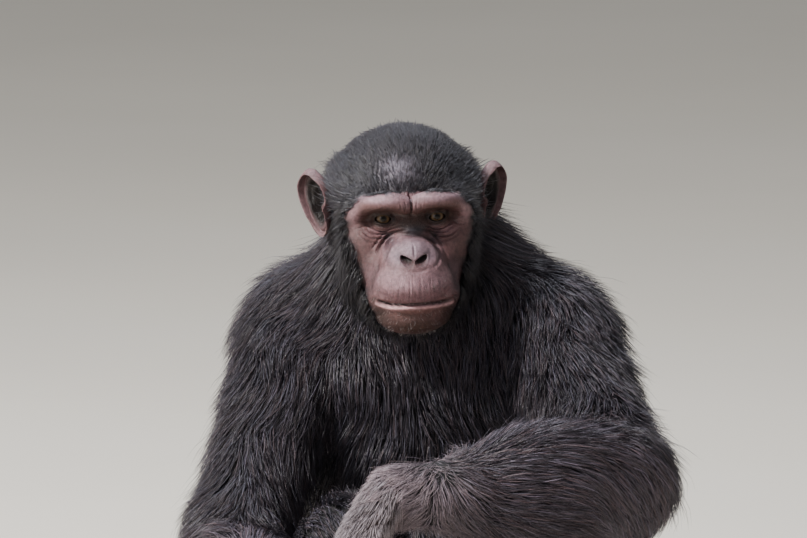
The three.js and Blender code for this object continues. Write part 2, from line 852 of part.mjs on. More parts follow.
const FINISHES = {
  coat: { color: 0x1a1719, roughness: 0.6, metalness: 0 },
  face: { color: 0x8a6a60, roughness: 0.55, metalness: 0 },
  hand: { color: 0x2a2422, roughness: 0.65, metalness: 0 },
  eye: { color: 0x4a2a12, roughness: 0.1, metalness: 0 },
};
const finishOf = (name) => {
  if (name.startsWith("eye")) return FINISHES.eye;
  if (name.startsWith("head") || name.startsWith("ear")) return FINISHES.face;
  if (name.startsWith("hand") || name.startsWith("foot")) return FINISHES.hand;
  return FINISHES.coat;
};

const chimpanzee = new THREE.Group();
for (const [name, form] of Object.entries(nodes)) {
  const { vertProperties, triVerts, numProp } = form.getMesh();
  const positions = [];
  for (let i = 0; i < vertProperties.length; i += numProp) {
    positions.push(vertProperties[i], vertProperties[i + 1], vertProperties[i + 2]);
  }
  const geometry = new THREE.BufferGeometry();
  geometry.setAttribute("position", new THREE.Float32BufferAttribute(positions, 3));
  geometry.setIndex([...triVerts]);
  geometry.computeVertexNormals();
  const mesh = new THREE.Mesh(geometry, new THREE.MeshStandardMaterial(finishOf(name)));
  mesh.name = name;
  chimpanzee.add(mesh);
}

export default chimpanzee;
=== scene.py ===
# %% [markdown]
# # A seated chimpanzee
# A life-size museum model of a chimpanzee that sits with its knees up and one forearm across
# them. The solids of the frame give its size and its pose. Blender gives it what a taxidermist
# would: a skin over the muscles, a face with its folds, ears, eyes, nails, and a coat of
# separate hairs. Everything is worked out in millimetres and turned to metres at the end.

import math

import bpy
import numpy as np
from mathutils import Matrix, Vector, kdtree


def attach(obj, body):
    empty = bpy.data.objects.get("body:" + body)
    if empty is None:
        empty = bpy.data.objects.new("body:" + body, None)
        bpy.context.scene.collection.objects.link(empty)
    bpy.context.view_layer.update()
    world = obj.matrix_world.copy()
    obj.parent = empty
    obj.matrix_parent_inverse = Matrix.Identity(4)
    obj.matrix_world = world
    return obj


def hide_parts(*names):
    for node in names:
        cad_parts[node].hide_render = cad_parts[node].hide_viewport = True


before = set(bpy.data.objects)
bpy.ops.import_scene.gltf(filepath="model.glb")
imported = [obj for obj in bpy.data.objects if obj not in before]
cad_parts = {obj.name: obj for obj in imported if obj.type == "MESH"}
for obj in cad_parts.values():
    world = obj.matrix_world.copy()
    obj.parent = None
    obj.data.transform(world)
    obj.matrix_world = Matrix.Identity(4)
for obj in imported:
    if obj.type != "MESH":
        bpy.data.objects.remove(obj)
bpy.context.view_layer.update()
MM = 0.001
FAR = 400.0
print("frame has", len(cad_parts), "nodes")

# %% [markdown]
# ## The skeleton
# A museum model starts as an armature: bones of known length, bent at the joints. The same
# lengths and directions as in the solids are used here, so that the skin and the coat land on
# the pose. Vectors in NumPy are quicker to work with than empties or bones, because the skin
# has to ask thousands of times how far it is from each limb.

# %% Bones and joints
UPPER_ARM, FOREARM, PALM = 265, 240, 84
THIGH, SHANK = 262, 225
EYE_HEIGHT, SHOULDER_HEIGHT, SHOULDER_HALF, SHOULDER_TURN = 566, 448, 114, -12
HIP_HEIGHT, HIP_HALF = 98, 76
EYE_RADIUS = 11
CAP_ROUND = 0.75


def at(*numbers):
    return np.array(numbers, float)


def unit(v):
    return v / np.maximum(np.linalg.norm(v, axis=-1, keepdims=True), 1e-9)


def reach(start, towards, length):
    return start + unit(towards) * length


def about(axis, degrees):
    return np.array(Matrix.Rotation(math.radians(degrees), 3, Vector(axis)))


UP = at(0, 0, 1)
shoulder_mid = at(-4, 22, SHOULDER_HEIGHT)
shoulder_line = about(UP, SHOULDER_TURN) @ at(SHOULDER_HALF, 0, 0)
joints = {
    "left": {"shoulder": shoulder_mid + shoulder_line, "hip": at(HIP_HALF, 0, HIP_HEIGHT)},
    "right": {"shoulder": shoulder_mid - shoulder_line, "hip": at(6 - HIP_HALF, 10, HIP_HEIGHT)},
}
BONES = [
    ("left", "shoulder", "elbow", (70, -212, -112), UPPER_ARM),
    ("left", "elbow", "wrist", (-216, -84, 3), FOREARM),
    ("right", "shoulder", "elbow", (-66, -168, -186), UPPER_ARM),
    ("right", "elbow", "wrist", (30, -187, -146), FOREARM),
    ("left", "hip", "knee", (20, -205, 170), THIGH),
    ("right", "hip", "knee", (-2, -205, 170), THIGH),
    ("left", "knee", "ankle", (-10, -97, -205), SHANK),
    ("right", "knee", "ankle", (20, -97, -205), SHANK),
]
for side, start, end, towards, length in BONES:
    joints[side][end] = reach(joints[side][start], at(*towards), length)
print("left elbow at", joints["left"]["elbow"].round(), "mm")

# %% [markdown]
# ## Limbs as tubes of flesh
# Under the coat a limb is an oval tube that is thick over the muscle and thin at the joint.
# Each tube is a curve through a few stations with two half widths. From it the script can
# tell any point's distance to the flesh, so all the tubes can be blended into one body.

# %% Tubes and their distance


def smooth_line(points, steps=10):
    p = np.asarray(points, float)
    p = np.vstack([2 * p[0] - p[1], p, 2 * p[-1] - p[-2]])
    out = []
    for i in range(1, len(p) - 2):
        a, b, c, d = p[i - 1 : i + 3]
        for s in np.arange(steps) / steps:
            turn = (2 * a - 5 * b + 4 * c - d) * s**2 + (3 * b - a - 3 * c + d) * s**3
            out.append(0.5 * (2 * b + (c - a) * s + turn))
    return np.array(out + [p[-2]])


def tube(stations, side, way=1.0, steps=10):
    centres = smooth_line([s[0] for s in stations], steps)
    sizes = smooth_line([s[1:3] for s in stations], steps)
    along = unit(np.gradient(centres, axis=0))
    across = unit(side - along * (along @ side)[:, None])
    front = np.cross(along, across)
    gaps = np.linalg.norm(np.diff(centres, axis=0), axis=1)
    return {
        "centres": centres,
        "sizes": sizes,
        "along": along,
        "across": across,
        "front": front,
        "way": way,
        "step": np.append(gaps, gaps[-1]),
        "length": gaps.sum(),
    }


def oval(q, half):
    once = np.sqrt(((q / half) ** 2).sum(-1))
    twice = np.sqrt(((q / half**2) ** 2).sum(-1))
    return once * (once - 1) / np.maximum(twice, 1e-6)


def to_tube(points, t, whole=False):
    c = t["centres"]
    last = len(c) - 1
    far = (points**2).sum(1)[:, None] - 2 * points @ c.T + (c**2).sum(1)
    i = far.argmin(1)
    off = points - c[i]
    ahead = (off * t["along"][i]).sum(1)
    place = np.clip(i + ahead / t["step"][i], 0, last)
    low = np.minimum(place.astype(int), last - 1)
    size = t["sizes"][low] + (t["sizes"][low + 1] - t["sizes"][low]) * (place - low)[:, None]
    past = np.where(i == 0, np.minimum(ahead, 0), np.where(i == last, np.maximum(ahead, 0), 0))
    u = (off * t["across"][i]).sum(1)
    w = (off * t["front"][i]).sum(1)
    half = np.column_stack([size, CAP_ROUND * size.min(1)])
    d = oval(np.column_stack([u, w, past]), half)
    if not whole:
        return d
    return d, place / last, np.arctan2(w / size[:, 1], u / size[:, 0]), t["along"][i]


def blend(p, q, width):
    near = np.maximum(width - np.abs(p - q), 0) / width
    return np.minimum(p, q) - near * near * width / 4


def slope(field, points, step=0.4):
    here = field(points)
    g = np.column_stack([field(points + step * np.eye(3)[k]) - here for k in range(3)]) / step
    return here, g


def onto(field, points, rounds):
    for _ in range(rounds):
        d, g = slope(field, points)
        points = points - g * (d / np.maximum((g**2).sum(1), 0.05))[:, None]
    return points


turned = about(UP, SHOULDER_TURN / 2) @ at(1, 0, 0)
ACROSS = at(1, 0, 0)
TORSO = [
    (at(2, 12, 46), 102, 82),
    (at(2, 18, 90), 126, 102),
    (at(2, 24, 150), 128, 106),
    (at(0, 30, 220), 124, 104),
    (at(-2, 32, 300), 130, 102),
    (at(-4, 28, 370), 137, 98),
    (at(-6, 20, 425), 136, 88),
    (at(-9, 12, 466), 122, 75),
]
NECK = [
    (at(-12, 11, 482), 116, 68),
    (at(-14, 6, 504), 100, 65),
    (at(-18, -1, 532), 78, 62),
    (at(-22, -2, 560), 62, 57),
]
UPPER_ARM_FORM = [(0, 50, 50), (0.2, 50, 52), (0.5, 44, 47), (0.8, 40, 42), (1, 37, 39)]
FOREARM_FORM = [(0, 40, 39), (0.2, 46, 43), (0.45, 44, 39), (0.75, 32, 29), (1, 22, 20)]
THIGH_FORM = [(0, 66, 70), (0.3, 64, 66), (0.65, 54, 54), (1, 44, 43)]
SHANK_FORM = [(0, 42, 42), (0.25, 41, 42), (0.55, 35, 36), (0.85, 26, 27), (1, 25, 26)]


def boned(start, end, form, side, way):
    return tube([(start + (end - start) * s, a, b) for s, a, b in form], side, way)


tubes = {"torso": tube(TORSO, turned, -1), "neck": tube(NECK, turned, -1)}
for side, j in joints.items():
    tubes[f"upper_arm_{side}"] = boned(j["shoulder"], j["elbow"], UPPER_ARM_FORM, ACROSS, 1)
    tubes[f"forearm_{side}"] = boned(j["elbow"], j["wrist"], FOREARM_FORM, UP, -1)
    tubes[f"thigh_{side}"] = boned(j["hip"], j["knee"], THIGH_FORM, ACROSS, 1)
    tubes[f"shank_{side}"] = boned(j["knee"], j["ankle"], SHANK_FORM, ACROSS, 1)
for name, t in tubes.items():
    print(f"{name}: {t['length']:.0f} mm long")

# %% [markdown]
# ## One skin for the body
# The body could be sculpted from a box, but a field of blended forms keeps it exactly on the
# pose. Balls are set along every limb like lumps of clay on an armature, with a few more for
# the big muscles. The Remesh modifier fuses them, and each point then slides onto the smooth
# blended surface. One skin has no seams where the limbs meet the trunk.

# %% Muscles over the bones
BACKWARDS = at(0, 1, 0)


def lump(centre, half, way=UP):
    z = unit(way)
    x = unit(np.cross(z, at(0.3, 1, 0.2)))
    return {"centre": centre, "half": at(*half), "frame": np.array([x, np.cross(z, x), z])}


def between(a, b, share):
    return a + (b - a) * share


muscles = [
    lump(at(2, -62, 200), (84, 44, 92)),
    lump(at(-2, 60, 360), (112, 62, 84)),
]
for side, sign in (("left", 1), ("right", -1)):
    j = joints[side]
    arm = j["elbow"] - j["shoulder"]
    muscles += [
        lump(between(j["shoulder"], j["elbow"], 0.14) + at(sign * 6, 0, 8), (46, 46, 62), arm),
        lump(at(sign * 66 - 4, -30 - 8 * sign, 396), (62, 44, 40)),
        lump(at(sign * 62, 62, 66), (58, 52, 52)),
        lump(j["elbow"] + unit(arm) * 8, (30, 32, 26), arm),
        lump(j["knee"] + at(0, -8, 8), (34, 34, 30)),
        lump(between(j["knee"], j["ankle"], 0.3) + BACKWARDS * 12, (30, 30, 66), j["ankle"] - j["knee"]),
        lump(between(j["elbow"], j["wrist"], 0.22), (42, 42, 62), j["wrist"] - j["elbow"]),
    ]
j = joints["left"]
top_of_forearm = between(j["elbow"], j["wrist"], 0.34) + UP * 16
muscles.append(lump(top_of_forearm, (40, 40, 76), j["wrist"] - j["elbow"]))


print(len(muscles), "muscles over the bones")


def to_lump(points, form):
    return oval((points - form["centre"]) @ form["frame"].T, form["half"])


# %% How far any point is from the body's surface
LIMB_BLEND, MUSCLE_BLEND, MUSCLE_REACH = 26, 12, 190


def body_field(points, names=tuple(tubes)):
    whole = np.full(len(points), FAR)
    for name in names:
        t = tubes[name]
        near = (np.abs(points - t["centres"].mean(0)) < t["length"] / 2 + MUSCLE_REACH).all(1)
        if near.any():
            whole[near] = blend(whole[near], to_tube(points[near], t), LIMB_BLEND)
    for form in muscles:
        near = (np.abs(points - form["centre"]) < MUSCLE_REACH).all(1)
        if near.any():
            whole[near] = blend(whole[near], to_lump(points[near], form), MUSCLE_BLEND)
    return whole


# %% Small helpers for the modelling


def deselect():
    for o in bpy.context.selected_objects:
        o.select_set(False)


def choose(obj):
    deselect()
    obj.select_set(True)
    bpy.context.view_layer.objects.active = obj


def points_of(obj):
    out = np.empty(len(obj.data.vertices) * 3)
    obj.data.vertices.foreach_get("co", out)
    return out.reshape(-1, 3) / MM


def set_points(obj, points):
    obj.data.vertices.foreach_set("co", (points * MM).ravel())
    obj.data.update()


def normals_of(obj):
    out = np.empty(len(obj.data.vertices) * 3)
    obj.data.vertex_normals.foreach_get("vector", out)
    return out.reshape(-1, 3)


def edges_of(obj):
    out = np.empty(len(obj.data.edges) * 2, int)
    obj.data.edges.foreach_get("vertices", out)
    return out.reshape(-1, 2)


def spread(values, edges, rounds):
    """Each value moves to the mean of itself and its neighbours."""
    for _ in range(rounds):
        total = values.copy()
        count = np.ones(len(values))
        for a, b in ((0, 1), (1, 0)):
            for k in range(values.shape[1]):
                total[:, k] += np.bincount(edges[:, a], values[edges[:, b], k], len(values))
            count += np.bincount(edges[:, a], minlength=len(values))
        values = total / count[:, None]
    return values


def smooth(obj):
    for face in obj.data.polygons:
        face.use_smooth = True


def turn_outward(obj):
    choose(obj)
    bpy.ops.object.mode_set(mode="EDIT")
    bpy.ops.mesh.select_all(action="SELECT")
    bpy.ops.mesh.normals_make_consistent(inside=False)
    bpy.ops.object.mode_set(mode="OBJECT")


FLOOR_GAP = 0.5


def above_floor(points):
    """The points, with those below the floor pressed flat onto it."""
    points[:, 2] = np.maximum(points[:, 2], FLOOR_GAP)
    return points


def join_all(name, parts):
    deselect()
    for o in parts:
        o.select_set(True)
    bpy.context.view_layer.objects.active = parts[0]
    bpy.ops.object.join()
    whole = bpy.context.object
    whole.name = name
    whole.data.name = name
    bpy.ops.object.transform_apply(location=True, rotation=True, scale=True)
    return whole


def ball(centre, half, segments=16, rings=10):
    deselect()
    bpy.ops.mesh.primitive_uv_sphere_add(
        segments=segments, ring_count=rings, radius=MM, location=Vector(centre) * MM
    )
    made = bpy.context.object
    made.scale = half
    return made


def clay(name, tube_list, lumps, voxel, field, rounds=3):
    """Balls along the tubes, fused by Remesh and drawn onto the blended surface."""
    parts = []
    for t in tube_list:
        last = len(t["centres"]) - 1
        small = t["sizes"].min()
        count = max(3, int(t["length"] / (small * 0.55)))
        for i in np.linspace(0, last, count).round().astype(int):
            a, b = t["sizes"][i]
            made = ball(t["centres"][i], (a * 0.97, b * 0.97, min(a, b) * CAP_ROUND))
            axes = np.array([t["across"][i], t["front"][i], t["along"][i]]).T
            made.rotation_euler = Matrix(axes.tolist()).to_euler()
            parts.append(made)
    for form in lumps:
        made = ball(form["centre"], form["half"] * 0.96)
        made.rotation_euler = Matrix(form["frame"].T.tolist()).to_euler()
        parts.append(made)
    whole = join_all(name, parts)
    fuse = whole.modifiers.new("fuse", "REMESH")
    fuse.mode = "VOXEL"
    fuse.voxel_size = voxel * MM
    bpy.ops.object.modifier_apply(modifier="fuse")
    edges = edges_of(whole)
    points = points_of(whole)
    for _ in range(rounds):
        points = onto(field, spread(points, edges, 2), 2)
    set_points(whole, onto(field, points, 2))
    smooth(whole)
    print(name, "has", len(whole.data.vertices), "points")
    return whole


# %% The body's skin
body_skin = clay("body_skin", list(tubes.values()), muscles, 5.0, body_field)
set_points(body_skin, above_floor(points_of(body_skin)))
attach(body_skin, "root")
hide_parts(*tubes)

# %% [markdown]
# ## The head
# The head gets the most care. A UV sphere is the start: its rings run from under the jaw to
# the crown, and its points are crowded over the face. Each point slides out along its ray
# until it meets a blend of rounded forms (braincase, brow ridge, cheekbones, muzzle, jaw), as a
# sculptor lays clay on a skull. Folds are then pressed in along drawn lines.

# %% The forms of the skull and face
HEAD_YAW, HEAD_PITCH, HEAD_ROLL = 4, 2, -2
HEAD_AT = at(-24, -35, EYE_HEIGHT)
HEAD_TURN = about(UP, HEAD_YAW) @ about((0, 1, 0), HEAD_ROLL) @ about((1, 0, 0), HEAD_PITCH)
HEAD_MIDDLE = at(0, -22, -14)
EYE_CENTRE = at(25.4, -61, 0)
LID_THICKNESS = 2.2


def from_head(points):
    return points @ HEAD_TURN.T + HEAD_AT


def to_head(points):
    return (points - HEAD_AT) @ HEAD_TURN


def form(centre, half, both=False, width=11):
    return {"centre": at(*centre), "half": at(*half), "both": both, "width": width}


HEAD_FORMS = [
    form((0, 14, 12), (67, 75, 60)),
    form((0, 22, -26), (56, 50, 46)),
    form((0, -34, -16), (57, 36, 42)),
    form((42, -40, 6), (16, 24, 20), True),
    form((51, -53, -4), (7, 10, 18), True),
    form((40, -54, -24), (20, 19, 17), True),
    form((9, -66, -4), (8, 11, 16), True),
    form((0, -70, -12), (9, 12, 17)),
    form((0, -88, -29), (20, 14, 12)),
    form((0, -98, -27), (9, 8, 7)),
    form((32, -48, -44), (22, 30, 26), True),
    form((0, -76, -51), (40, 44, 29)),
    form((0, -88, -60), (35, 35, 12)),
    form((0, -82, -79), (36, 32, 8.5)),
    form((0, -70, -89), (37, 40, 21.5)),
    form((32, -76, -70), (12, 24, 14), True, 9),
    form((38, -22, -54), (20, 40, 32), True),
]
BROW = [
    # x, y, z and radius along the roll over the eye and down its outer side
    (4, -79, 13.5, 7.6),
    (13, -80.5, 16.5, 8.8),
    (23, -79.5, 17.5, 9),
    (33, -75, 16, 8.6),
    (42, -68, 12, 8),
    (49, -61, 6, 7.3),
    (53.5, -55, -2, 6.5),
    (55, -52, -11, 6),
]
for x, y, z, r in smooth_line(BROW, 2):
    HEAD_FORMS.append(form((x, y, z), (r, r, r * 0.86), True, 6))
FINE_FORMS = [
    form((5, -98.8, -28.5), (6.4, 7, 7.8), True, 2.5),
    form((17, -90, -31), (6.2, 8, 8), True, 6),
    form((0, -97, -38.5), (3.4, 6, 3.4), False, 4),
]
print(len(HEAD_FORMS) + len(FINE_FORMS), "rounded forms make the head")

# %% How far any point is from the head's surface


def to_form(points, f):
    q = points - f["centre"]
    if f["both"]:
        q[:, 0] = np.abs(points[:, 0]) - f["centre"][0]
    return oval(q, f["half"])


def rise(x, low, high):
    s = np.clip((x - low) / (high - low), 0, 1)
    return s * s * (3 - 2 * s)


def head_field(points):
    d = np.full(len(points), FAR)
    for f in HEAD_FORMS + FINE_FORMS:
        d = blend(d, to_form(points, f), f["width"])
    q = points.copy()
    q[:, 0] = np.abs(q[:, 0])
    eye = np.linalg.norm(q - EYE_CENTRE, axis=1) - EYE_RADIUS - LID_THICKNESS
    return blend(d, eye, 3)


RAY_START, RAY_STEPS, RAY_CARE = 150.0, 34, 0.8


def march(ways):
    """How far from the head's middle each ray meets the surface, coming in from outside."""
    far = np.full(len(ways), RAY_START)
    for _ in range(RAY_STEPS):
        far = far - RAY_CARE * head_field(HEAD_MIDDLE + ways * far[:, None])
    return far


# %% The sphere, drawn onto the forms
HEAD_LOOPS, HEAD_ROWS = 372, 256
CROWDING = 0.62
deselect()
bpy.ops.mesh.primitive_uv_sphere_add(segments=HEAD_LOOPS, ring_count=HEAD_ROWS, radius=MM)
head = bpy.context.object
head.name = "head_skin"
grid = points_of(head)
u = np.arctan2(grid[:, 0], -grid[:, 1]) / math.pi
v = np.arcsin(np.clip(grid[:, 2], -1, 1)) / (math.pi / 2)
turn = (u - CROWDING * np.sin(math.pi * u) / math.pi) * math.pi
lift = (v - CROWDING / 1.6 * np.sin(math.pi * v) / math.pi) * math.pi / 2


def ray(turn, lift):
    flat = np.cos(lift)
    return np.column_stack([np.sin(turn) * flat, -np.cos(turn) * flat, np.sin(lift)])


ways = ray(turn, lift)
skin = HEAD_MIDDLE + ways * march(ways)[:, None]
print("head has", len(skin), "points, chin at", skin[skin[:, 1] < -60, 2].min().round(), "mm")

# %% [markdown]
# ## Eye openings
# The lids are a thin layer over the eyeball with an almond opening. A Boolean cut would work,
# but it leaves slivers on so fine a grid. Here the points nearest the almond's edge are moved
# onto it, and those inside it drop behind the front of the eye, which leaves a clean lid edge.

# %% Lids
LID_INNER, LID_OUTER = -8.0, 8.4
LID_TOP, LID_BOTTOM = 4.2, 4.0
LID_TILT, LID_DROP = 0.05, 1.6


def lid_gap(x, z):
    """Distance, in the front view, to the edge of the eye opening: negative inside it."""
    across = np.abs(x) - EYE_CENTRE[0]
    s = np.clip((across - LID_INNER) / (LID_OUTER - LID_INNER), 0, 1)
    arch = np.sqrt(np.clip(4 * s * (1 - s), 0, 1)) ** 1.25
    level = (z - EYE_CENTRE[2]) - LID_TILT * across
    over = np.where(level > 0, level - LID_TOP * arch, -level - LID_BOTTOM * arch)
    beside = np.maximum(LID_INNER - across, across - LID_OUTER)
    return np.where(beside > 0, np.hypot(np.maximum(beside, 0), np.maximum(over, 0)), over)


GRID_STEP = 0.62
front = skin[:, 1] < -50
gap = lid_gap(skin[:, 0], skin[:, 2])
near = front & (np.abs(gap) < GRID_STEP * 0.75)
for _ in range(3):
    p = skin[near]
    g0 = lid_gap(p[:, 0], p[:, 2])
    gx = (lid_gap(p[:, 0] + 0.1, p[:, 2]) - g0) / 0.1
    gz = (lid_gap(p[:, 0], p[:, 2] + 0.1) - g0) / 0.1
    size = np.maximum(gx**2 + gz**2, 0.3)
    aim = p - np.column_stack([gx * g0 / size, 0 * g0, gz * g0 / size]) - HEAD_MIDDLE
    ways[near] = unit(aim)
    skin[near] = HEAD_MIDDLE + ways[near] * march(ways[near])[:, None]
inside = front & (lid_gap(skin[:, 0], skin[:, 2]) < -GRID_STEP * 0.4)
eye_side = np.where(skin[:, :1] < 0, -1.0, 1.0)
eye_at = np.column_stack([EYE_CENTRE[0] * eye_side, np.tile(EYE_CENTRE[1:], (len(skin), 1))])
off = skin - eye_at
depth = EYE_RADIUS - LID_DROP
drop = np.sqrt(np.maximum(depth**2 - off[:, 0] ** 2 - off[:, 2] ** 2, 1.0))
skin[inside, 1] = eye_at[inside, 1] - drop[inside]
print("points inside the eye openings:", inside.sum())

# %% [markdown]
# ## Folds of the face
# Real skin creases where it is bent most: under the eyes, beside the nose, round the mouth.
# Each fold is a short smooth line in the front view with a depth and a width. Points near the
# line sink, and those just beside it rise a little, because skin that folds also bunches up.

# %% Drawn folds
FOLDS = [
    # name, line of (x, z), depth, half width, bunching, mirrored
    ("brow crease", [(0, 23), (0.6, 15), (0, 5)], 2.0, 0.95, 0.4, False),
    ("brow crease beside", [(6, 20), (5, 14), (6, 8)], 0.6, 0.7, 0.2, True),
    ("brow crease far", [(10.5, 18), (9.5, 13), (10, 9)], 0.4, 0.6, 0.15, True),
    ("brow lower line", [(14, 12), (24, 12.8), (34, 10.5), (42, 5)], 0.5, 0.8, 0.2, True),
    ("under the brow", [(12, 7), (22, 9.2), (33, 8), (42, 1)], 1.0, 1.5, 0.3, True),
    ("upper lid", [(15, 1.5), (19, 5.6), (26, 7), (34, 4.8), (39, 0.5)], 1.5, 0.9, 0.5, True),
    ("lower lid", [(16, -3.5), (20, -6), (27, -6.6), (35, -4)], 1.0, 0.8, 0.5, True),
    ("first bag", [(14, -7), (21, -11), (30, -11.4), (39, -7)], 1.2, 0.8, 0.6, True),
    ("second bag", [(15, -11), (22, -14.2), (32, -14.6), (42, -9)], 1.1, 0.8, 0.6, True),
    ("third bag", [(20, -17), (28, -18.4), (37, -17.4), (45, -12)], 1.0, 0.9, 0.5, True),
    ("fourth bag", [(27, -22), (34, -22.4), (42, -19), (49, -13)], 0.7, 0.8, 0.4, True),
    ("crow foot one", [(37, 1), (44, 3), (51, 5)], 0.6, 0.8, 0.25, True),
    ("crow foot two", [(38, -2), (46, -2.5), (53, -1)], 0.6, 0.8, 0.25, True),
    ("crow foot three", [(39, -5), (46, -8), (52, -9)], 0.5, 0.8, 0.25, True),
    ("nose fold", [(-4, -9.5), (-16, -12.5), (-25, -20), (-35, -33)], 1.5, 1.2, 0.9, False),
    ("nose fold inner", [(-9, -15.5), (-19, -21), (-25, -29), (-29, -40)], 1.2, 1.1, 0.7, False),
    ("nose fold outer", [(-20, -11.5), (-30, -19), (-37, -27)], 1.0, 0.9, 0.5, False),
    ("nose fold", [(11, -11), (18, -14), (24, -20), (30, -28)], 1.8, 1.4, 0.6, False),
    ("nose fold inner", [(13, -16), (20, -21), (26, -29), (28, -36)], 1.1, 1.4, 0.4, False),
    ("nose groove", [(0, -20), (0.3, -25), (0, -32)], 0.9, 1.0, 0.2, False),
    ("nose dome edge", [(-24, -22), (-14, -14), (0, -13.5), (13, -17), (25, -27)], 1.5, 1.6, 0.6, False),
    ("nose wing", [(20, -23), (24.5, -30), (23, -37), (16, -41.5)], 0.9, 1.5, 0.3, True),
    ("under the nose", [(-17, -40), (0, -43.5), (17, -40)], 0.8, 1.1, 0.3, False),
    ("cheek line", [(30, -30), (34, -38), (35, -46)], 0.6, 1.2, 0.3, True),
    ("smile fold", [(27, -32), (35, -44), (39, -56), (41, -68)], 1.2, 2.2, 0.5, True),
    ("mouth corner", [(35, -68), (38.5, -72), (37, -78)], 0.9, 1.5, 0.4, True),
    ("under the lip", [(-24, -84), (0, -87), (24, -84)], 0.9, 3.0, 0.0, False),
]
LIP_WRINKLES = 19
for k in range(LIP_WRINKLES):
    x = (k - 9) * 3.0 + 0.9 * math.sin(k * 2.7)
    top = -52 + 6 * math.sin(k * 1.9) - 0.006 * x * x
    deep = 0.28 + 0.2 * math.sin(k * 3.1)
    FOLDS.append((f"lip wrinkle {k}", [(x * 0.92, top), (x, -72.5)], deep, 0.8, 0.15, False))
# The line between the lips, as x and z, and the nostrils beside it
MOUTH = [
    (-35.5, -71.5),
    (-32, -73.8),
    (-22, -75.4),
    (0, -74.9),
    (20, -75.2),
    (31, -75),
    (36.5, -73.2),
]
NOSTRIL_AT, NOSTRIL_HALF, NOSTRIL_TILT = (7.0, -34.5), (6.4, 3.4), 30
NOSTRIL_DEEP, NOSTRIL_UP, NOSTRIL_CURVE = 8.0, 3.0, 0.3
MOUTH_DEPTH, LOWER_LIP_OUT, UPPER_LIP_OUT = 4.2, 1.1, 0.8
PADS = [
    # name, x, z, half width, half height, how far out, mirrored
    ("outer socket", 40, 0, 5.5, 6.5, -2.6, True),
    ("inner socket", 12.5, 3, 4.5, 6, -1.8, True),
    ("over the lid", 26, 8, 11, 3, -1.4, True),
    ("bag", 28, -9.5, 10, 3.2, 1.3, True),
    ("cheek hollow", 34, -34, 8, 9, -1.4, True),
    ("lip fullness", 0, -67, 27, 5, 1.2, False),
]


print(len(FOLDS), "folds and", len(PADS), "pads are drawn")

# %% How far a point is from a drawn line


def to_line(x, z, line):
    """Distance to a smooth line through the points, and how far along it (0 to 1)."""
    path = smooth_line([(a, b) for a, b in line], 6)
    best = np.full(len(x), 1e9)
    share = np.zeros(len(x))
    for k in range(len(path) - 1):
        a, step = path[k], path[k + 1] - path[k]
        s = np.clip(((x - a[0]) * step[0] + (z - a[1]) * step[1]) / (step @ step), 0, 1)
        d = np.hypot(x - a[0] - s * step[0], z - a[1] - s * step[1])
        closer = d < best
        best = np.where(closer, d, best)
        share = np.where(closer, (k + s) / (len(path) - 1), share)
    return best, share


def sides_of(line, mirrored):
    return [line, [(-x, z) for x, z in line]] if mirrored else [line]


# %% Press the folds in
dip = np.zeros(len(skin))
facing = rise(-skin[:, 1], 30, 48)
x, z = skin[:, 0], skin[:, 2]
for name, line, deep, wide, bunch, mirrored in FOLDS:
    for path in sides_of(line, mirrored):
        d, share = to_line(x, z, path)
        fade = np.clip(4 * share * (1 - share), 0, 1) ** 0.6
        dip -= deep * fade * np.exp(-((d / wide) ** 2))
        dip += bunch * fade * np.exp(-(((d - 2.1 * wide) / (1.1 * wide)) ** 2))
pressed = dip.copy()
for name, cx, cz, rx, rz, out_by, mirrored in PADS:
    for s in (1, -1) if mirrored else (1,):
        dip += out_by * np.exp(-(((x - cx * s) / rx) ** 2) - ((z - cz) / rz) ** 2)
d, share = to_line(x, z, MOUTH)
mouth_fade = np.clip(6 * share * (1 - share), 0, 1) ** 0.5
below = np.where(z < np.interp(x, [p[0] for p in MOUTH], [p[1] for p in MOUTH]), 1.0, 0.0)
mouth_gap = np.exp(-((d / 1.25) ** 2)) * mouth_fade
lip_rim = np.exp(-(((d - 3.0) / 1.6) ** 2)) * mouth_fade * below
dip += -MOUTH_DEPTH * mouth_gap + LOWER_LIP_OUT * lip_rim
dip += UPPER_LIP_OUT * np.exp(-(((d - 4.2) / 2.4) ** 2)) * mouth_fade * (1 - below)
tilt = math.radians(NOSTRIL_TILT)
across, up = np.abs(x) - NOSTRIL_AT[0], z - NOSTRIL_AT[1]
along = (across * math.cos(tilt) + up * math.sin(tilt)) / NOSTRIL_HALF[0]
over = (up * math.cos(tilt) - across * math.sin(tilt)) / NOSTRIL_HALF[1]
off_pit = np.hypot(along, over - NOSTRIL_CURVE * along**2 + 0.12)
pit = 1 - rise(off_pit, 0.6, 1.2)
dip *= facing

set_points(head, skin)
bpy.context.view_layer.update()
out = normals_of(head)
moved = skin + out * (dip * np.where(front & (lid_gap(x, z) < 0.3), 0, 1))[:, None]
on_muzzle = skin[:, 1] < -70
moved[:, 1] += NOSTRIL_DEEP * pit * on_muzzle
moved[:, 2] += NOSTRIL_UP * pit * on_muzzle
LUMP_HEIGHT, COARSE_SKIN = 0.12, ((0.23, 0.35), (0.31, 0.22), (0.17, 0.28))
lumpy = sum(
    np.sin(moved[:, 0] * a + k) * np.sin(moved[:, 2] * b + 2 * k)
    for k, (a, b) in enumerate(COARSE_SKIN)
)
moved += out * (LUMP_HEIGHT * lumpy * facing * (gap > 1.5))[:, None]
set_points(head, from_head(moved))
smooth(head)
bpy.context.view_layer.update()
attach(head, "root")
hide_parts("head")
print("deepest fold", dip.min().round(1), "mm")
